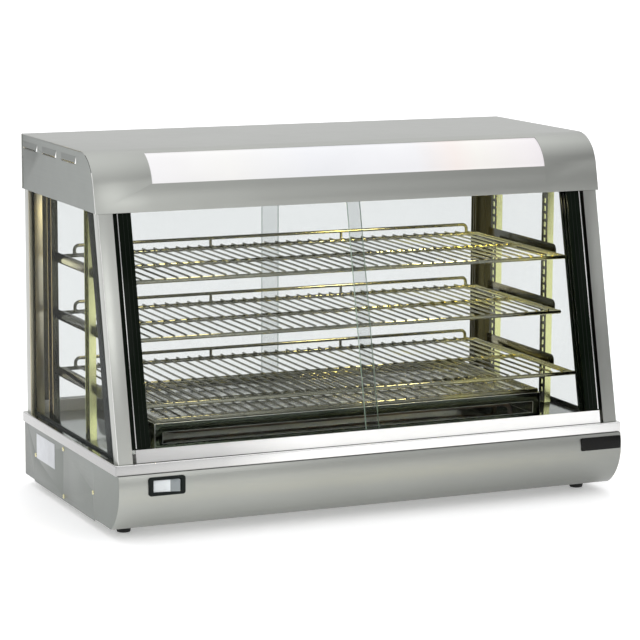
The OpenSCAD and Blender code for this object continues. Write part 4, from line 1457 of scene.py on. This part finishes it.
def glass():
    """The four sliding doors, the fixed side panes and their seals."""
    for node in ("front_door_left", "front_door_right", "rear_door_left", "rear_door_right"):
        pane(node, node + "_pane")
    for side in ("left", "right"):
        pane("side_glass_" + side, "side_pane_" + side, clear_glass())
        seal = softened(from_node("side_seal_" + side), 0.4 * MM, 2)
        placed(seal, "side_seal_" + side, matte_black())


# ---------- studio ----------


def studio():
    """A pale floor and surround, a soft key light and the camera."""
    look = bpy.context.scene.display_case
    nothing_selected()
    bpy.ops.mesh.primitive_plane_add(size=70)
    floor = newest("floor")
    edit(floor)
    bpy.ops.mesh.subdivide(number_cuts=4)
    bpy.ops.object.mode_set(mode="OBJECT")
    pale = Finish("studio_floor", Roughness=0.55)
    clouds = pale.noise(pale.place(), 1.5, 2.0)
    pale.drive("Base Color", pale.ramp(clouds, (0.3, (0.95, 0.95, 0.95)), (0.7, (0.97, 0.97, 0.97))))
    pale.shader.inputs["Emission Color"].default_value = (1, 1, 1, 1)
    pale.shader.inputs["Emission Strength"].default_value = 0.3
    floor.data.materials.append(pale.material)
    surround(look.surround)
    for name, at, wide, high, power in (
        ("key_light", (0.0, -2.7, 1.1), 1.0, 0.8, look.studio_light),
        ("rear_light", (1.2, 2.7, 1.55), 2.6, 1.0, look.studio_light * 0.3),
    ):
        nothing_selected()
        bpy.ops.object.light_add(type="AREA", location=at)
        light = bpy.context.object
        light.name = name
        light.data.energy = power
        light.data.shape = "RECTANGLE"
        light.data.size, light.data.size_y = wide, high
        light.rotation_euler = (Vector((0, 0, 0.35)) - Vector(at)).to_track_quat("-Z", "Y").to_euler()
    under_ceiling = 0.512
    for side, x, power in (("right", 0.25, 2.4), ("left", -0.25, 0.7)):
        nothing_selected()
        bpy.ops.object.light_add(type="AREA", location=(x, -0.02, under_ceiling))
        light = bpy.context.object
        light.name = "cabin_light_" + side
        light.data.energy = power
        light.data.color = (1.0, 0.86, 0.45)
        light.data.size = 0.12
    camera_here()
    bpy.context.scene.view_settings.view_transform = "Standard"


def sky_ramp(nodes, links, height, stops):
    """Grey tones over the height of a direction."""
    ramp = nodes.new("ShaderNodeValToRGB")
    elements = ramp.color_ramp.elements
    while len(elements) < len(stops):
        elements.new(1.0)
    for element, (place, tone) in zip(elements, stops):
        element.position = place
        element.color = (tone, tone, tone * 1.01, 1)
    links.new(height, ramp.inputs["Fac"])
    return ramp.outputs["Color"]


def blend(nodes, links, value, start, end, first, second):
    """Goes from the first colour to the second as a value goes from start to end."""
    share = nodes.new("ShaderNodeMapRange")
    share.inputs["From Min"].default_value = start
    share.inputs["From Max"].default_value = end
    links.new(value, share.inputs["Value"])
    mix = nodes.new("ShaderNodeMix")
    mix.data_type = "RGBA"
    links.new(share.outputs[0], mix.inputs["Factor"])
    for socket, colour in (("A", first), ("B", second)):
        links.new(colour, next(i for i in mix.inputs if i.name == socket and i.type == "RGBA"))
    return next(o for o in mix.outputs if o.type == "RGBA")


def surround(strength):
    """The studio round the case: pale behind, shaded before it, and a bright window at the right."""
    world = bpy.data.worlds.new("studio_surround")
    world.use_nodes = True
    nodes, links = world.node_tree.nodes, world.node_tree.links
    way = nodes.new("ShaderNodeSeparateXYZ")
    links.new(nodes.new("ShaderNodeTexCoord").outputs["Generated"], way.inputs[0])
    behind = ((0.0, 1.0), (0.02, 1.0), (0.07, 0.80), (0.32, 0.70), (0.52, 1.10), (1.0, 1.45))
    window = ((0.0, 0.7), (0.10, 0.30), (0.17, 0.35), (0.20, 1.7), (0.36, 1.7), (0.39, 0.4))
    window += ((0.6, 0.9), (1.0, 1.4))
    shade = ((0.0, 0.7), (0.10, 0.35), (0.35, 0.45), (0.60, 1.0), (1.0, 1.4))
    bands = [sky_ramp(nodes, links, way.outputs["Z"], stops) for stops in (behind, window, shade)]
    before = blend(nodes, links, way.outputs["X"], 0.33, 0.42, bands[2], bands[1])
    colour = blend(nodes, links, way.outputs["Y"], -0.3, 0.4, before, bands[0])
    backdrop = nodes["Background"]
    backdrop.inputs["Strength"].default_value = strength
    links.new(colour, backdrop.inputs["Color"])
    bpy.context.scene.world = world


def camera_here():
    """The camera at the front left, a little above the case, with a long lens."""
    place = (-1.84272, -4.16728, 1.05311)
    yaw, pitch, roll = 0.416503, 0.165021, 0.004464
    focal_length, sensor = 151.66, 36
    level = math.cos(pitch)
    forward = Vector((math.sin(yaw) * level, math.cos(yaw) * level, -math.sin(pitch)))
    right = Vector((math.cos(yaw), -math.sin(yaw), 0))
    up = right.cross(forward)
    across, along = math.cos(roll), math.sin(roll)
    right, up = right * across + up * along, up * across - right * along
    nothing_selected()
    bpy.ops.object.camera_add(location=place)
    camera = bpy.context.object
    camera.name = "studio_camera"
    camera.data.lens = focal_length
    camera.data.sensor_width = sensor
    camera.data.clip_start, camera.data.clip_end = 0.1, 100
    turn = Matrix((right, up, -forward)).transposed()
    camera.rotation_euler = turn.to_euler()
    bpy.context.scene.camera = camera


# ---------- operators and panel ----------


class DISPLAY_CASE_OT_canopy(bpy.types.Operator):
    """Bends the canopy's sheet and opens its window"""

    bl_idname = "display_case.canopy"
    bl_label = "Canopy skin"
    bl_options = {"REGISTER", "UNDO"}

    def execute(self, context):
        canopy_skin()
        return {"FINISHED"}


class DISPLAY_CASE_OT_canopy_ends(bpy.types.Operator):
    """Builds the canopy's end panels with their louvres"""

    bl_idname = "display_case.canopy_ends"
    bl_label = "Canopy ends"
    bl_options = {"REGISTER", "UNDO"}

    def execute(self, context):
        canopy_ends()
        return {"FINISHED"}


class DISPLAY_CASE_OT_light_cover(bpy.types.Operator):
    """Builds the curved opal cover"""

    bl_idname = "display_case.light_cover"
    bl_label = "Light cover"
    bl_options = {"REGISTER", "UNDO"}

    def execute(self, context):
        opal_cover()
        return {"FINISHED"}


class DISPLAY_CASE_OT_ceiling(bpy.types.Operator):
    """Finishes the cabin's ceiling sheet"""

    bl_idname = "display_case.ceiling"
    bl_label = "Ceiling liner"
    bl_options = {"REGISTER", "UNDO"}

    def execute(self, context):
        liner()
        return {"FINISHED"}


class DISPLAY_CASE_OT_lamps(bpy.types.Operator):
    """Builds the lamps and their sockets"""

    bl_idname = "display_case.lamps"
    bl_label = "Lamps"
    bl_options = {"REGISTER", "UNDO"}

    def execute(self, context):
        lamps()
        return {"FINISHED"}


class DISPLAY_CASE_OT_fascia(bpy.types.Operator):
    """Forms the rounded front casing"""

    bl_idname = "display_case.fascia"
    bl_label = "Rounded front"
    bl_options = {"REGISTER", "UNDO"}

    def execute(self, context):
        fascia_skin()
        return {"FINISHED"}


class DISPLAY_CASE_OT_deck(bpy.types.Operator):
    """Builds the deck with its rounded rim"""

    bl_idname = "display_case.deck"
    bl_label = "Deck"
    bl_options = {"REGISTER", "UNDO"}

    def execute(self, context):
        deck_tray()
        return {"FINISHED"}


class DISPLAY_CASE_OT_side_panels(bpy.types.Operator):
    """Finishes the casing's sides"""

    bl_idname = "display_case.side_panels"
    bl_label = "Side panels"
    bl_options = {"REGISTER", "UNDO"}

    def execute(self, context):
        side_panels()
        return {"FINISHED"}


class DISPLAY_CASE_OT_rear_and_floor(bpy.types.Operator):
    """Finishes the rear panel and the base pan"""

    bl_idname = "display_case.rear_and_floor"
    bl_label = "Rear and floor"
    bl_options = {"REGISTER", "UNDO"}

    def execute(self, context):
        rear_and_floor()
        return {"FINISHED"}


class DISPLAY_CASE_OT_feet(bpy.types.Operator):
    """Turns the rubber feet and their screws"""

    bl_idname = "display_case.feet"
    bl_label = "Feet"
    bl_options = {"REGISTER", "UNDO"}

    def execute(self, context):
        feet()
        return {"FINISHED"}


class DISPLAY_CASE_OT_screws(bpy.types.Operator):
    """Builds the casing's screws"""

    bl_idname = "display_case.screws"
    bl_label = "Case screws"
    bl_options = {"REGISTER", "UNDO"}

    def execute(self, context):
        case_screws()
        return {"FINISHED"}


class DISPLAY_CASE_OT_plates(bpy.types.Operator):
    """Builds the blank nameplate and label"""

    bl_idname = "display_case.plates"
    bl_label = "Plates"
    bl_options = {"REGISTER", "UNDO"}

    def execute(self, context):
        plates()
        return {"FINISHED"}


class DISPLAY_CASE_OT_switches(bpy.types.Operator):
    """Builds both rocker switches"""

    bl_idname = "display_case.switches"
    bl_label = "Switches"
    bl_options = {"REGISTER", "UNDO"}

    def execute(self, context):
        switches()
        return {"FINISHED"}


class DISPLAY_CASE_OT_thermostat(bpy.types.Operator):
    """Builds the thermostat's knob, shaft and body"""

    bl_idname = "display_case.thermostat"
    bl_label = "Thermostat"
    bl_options = {"REGISTER", "UNDO"}

    def execute(self, context):
        thermostat()
        return {"FINISHED"}


class DISPLAY_CASE_OT_pilot_and_gland(bpy.types.Operator):
    """Builds pilot lamp, gland and terminals"""

    bl_idname = "display_case.pilot_and_gland"
    bl_label = "Lamp and gland"
    bl_options = {"REGISTER", "UNDO"}

    def execute(self, context):
        pilot_and_gland()
        return {"FINISHED"}


class DISPLAY_CASE_OT_heater(bpy.types.Operator):
    """Finishes the heater's cover, elements and grid"""

    bl_idname = "display_case.heater"
    bl_label = "Heater"
    bl_options = {"REGISTER", "UNDO"}

    def execute(self, context):
        heater()
        return {"FINISHED"}


class DISPLAY_CASE_OT_shelves(bpy.types.Operator):
    """Builds the wire shelves and their brackets"""

    bl_idname = "display_case.shelves"
    bl_label = "Wire shelves"
    bl_options = {"REGISTER", "UNDO"}

    def execute(self, context):
        shelves()
        return {"FINISHED"}


class DISPLAY_CASE_OT_uprights(bpy.types.Operator):
    """Finishes the slotted uprights"""

    bl_idname = "display_case.uprights"
    bl_label = "Uprights"
    bl_options = {"REGISTER", "UNDO"}

    def execute(self, context):
        uprights()
        return {"FINISHED"}


class DISPLAY_CASE_OT_posts(bpy.types.Operator):
    """Finishes the corner posts"""

    bl_idname = "display_case.posts"
    bl_label = "Posts"
    bl_options = {"REGISTER", "UNDO"}

    def execute(self, context):
        posts()
        return {"FINISHED"}


class DISPLAY_CASE_OT_tracks(bpy.types.Operator):
    """Finishes the door tracks"""

    bl_idname = "display_case.tracks"
    bl_label = "Door tracks"
    bl_options = {"REGISTER", "UNDO"}

    def execute(self, context):
        tracks()
        return {"FINISHED"}


class DISPLAY_CASE_OT_channels(bpy.types.Operator):
    """Builds the black door channels and their trim"""

    bl_idname = "display_case.channels"
    bl_label = "Door channels"
    bl_options = {"REGISTER", "UNDO"}

    def execute(self, context):
        channels()
        return {"FINISHED"}


class DISPLAY_CASE_OT_glass(bpy.types.Operator):
    """Builds doors, side glass and seals"""

    bl_idname = "display_case.glass"
    bl_label = "Glass"
    bl_options = {"REGISTER", "UNDO"}

    def execute(self, context):
        glass()
        return {"FINISHED"}


class DISPLAY_CASE_OT_studio(bpy.types.Operator):
    """Sets up floor, lights and camera"""

    bl_idname = "display_case.studio"
    bl_label = "Studio"
    bl_options = {"REGISTER", "UNDO"}

    def execute(self, context):
        studio()
        return {"FINISHED"}


operators = (
    DISPLAY_CASE_OT_canopy,
    DISPLAY_CASE_OT_canopy_ends,
    DISPLAY_CASE_OT_light_cover,
    DISPLAY_CASE_OT_ceiling,
    DISPLAY_CASE_OT_lamps,
    DISPLAY_CASE_OT_fascia,
    DISPLAY_CASE_OT_deck,
    DISPLAY_CASE_OT_side_panels,
    DISPLAY_CASE_OT_rear_and_floor,
    DISPLAY_CASE_OT_feet,
    DISPLAY_CASE_OT_screws,
    DISPLAY_CASE_OT_plates,
    DISPLAY_CASE_OT_switches,
    DISPLAY_CASE_OT_thermostat,
    DISPLAY_CASE_OT_pilot_and_gland,
    DISPLAY_CASE_OT_heater,
    DISPLAY_CASE_OT_shelves,
    DISPLAY_CASE_OT_uprights,
    DISPLAY_CASE_OT_posts,
    DISPLAY_CASE_OT_tracks,
    DISPLAY_CASE_OT_channels,
    DISPLAY_CASE_OT_glass,
    DISPLAY_CASE_OT_studio,
)


class DISPLAY_CASE_PT_panel(bpy.types.Panel):
    """Lists the display case's sizes, colours and pieces."""

    bl_label = "Display Case"
    bl_idname = "DISPLAY_CASE_PT_panel"
    bl_space_type = "VIEW_3D"
    bl_region_type = "UI"
    bl_category = "Display Case"

    def draw(self, context):
        settings = context.scene.display_case
        for name in DisplayCaseSettings.__annotations__:
            self.layout.prop(settings, name)
        for made in operators:
            self.layout.operator(made.bl_idname)


def register():
    """Registers the settings, the operators and the panel."""
    bpy.utils.register_class(DisplayCaseSettings)
    bpy.types.Scene.display_case = bpy.props.PointerProperty(type=DisplayCaseSettings)
    for made in operators:
        bpy.utils.register_class(made)
    bpy.utils.register_class(DISPLAY_CASE_PT_panel)


def unregister():
    """Takes back what register did."""
    bpy.utils.unregister_class(DISPLAY_CASE_PT_panel)
    for made in reversed(operators):
        bpy.utils.unregister_class(made)
    del bpy.types.Scene.display_case
    bpy.utils.unregister_class(DisplayCaseSettings)


def main():
    """Registers the add-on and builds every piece."""
    register()
    for made in operators:
        group, name = made.bl_idname.split(".")
        getattr(getattr(bpy.ops, group), name)()


if __name__ == "__main__":
    main()
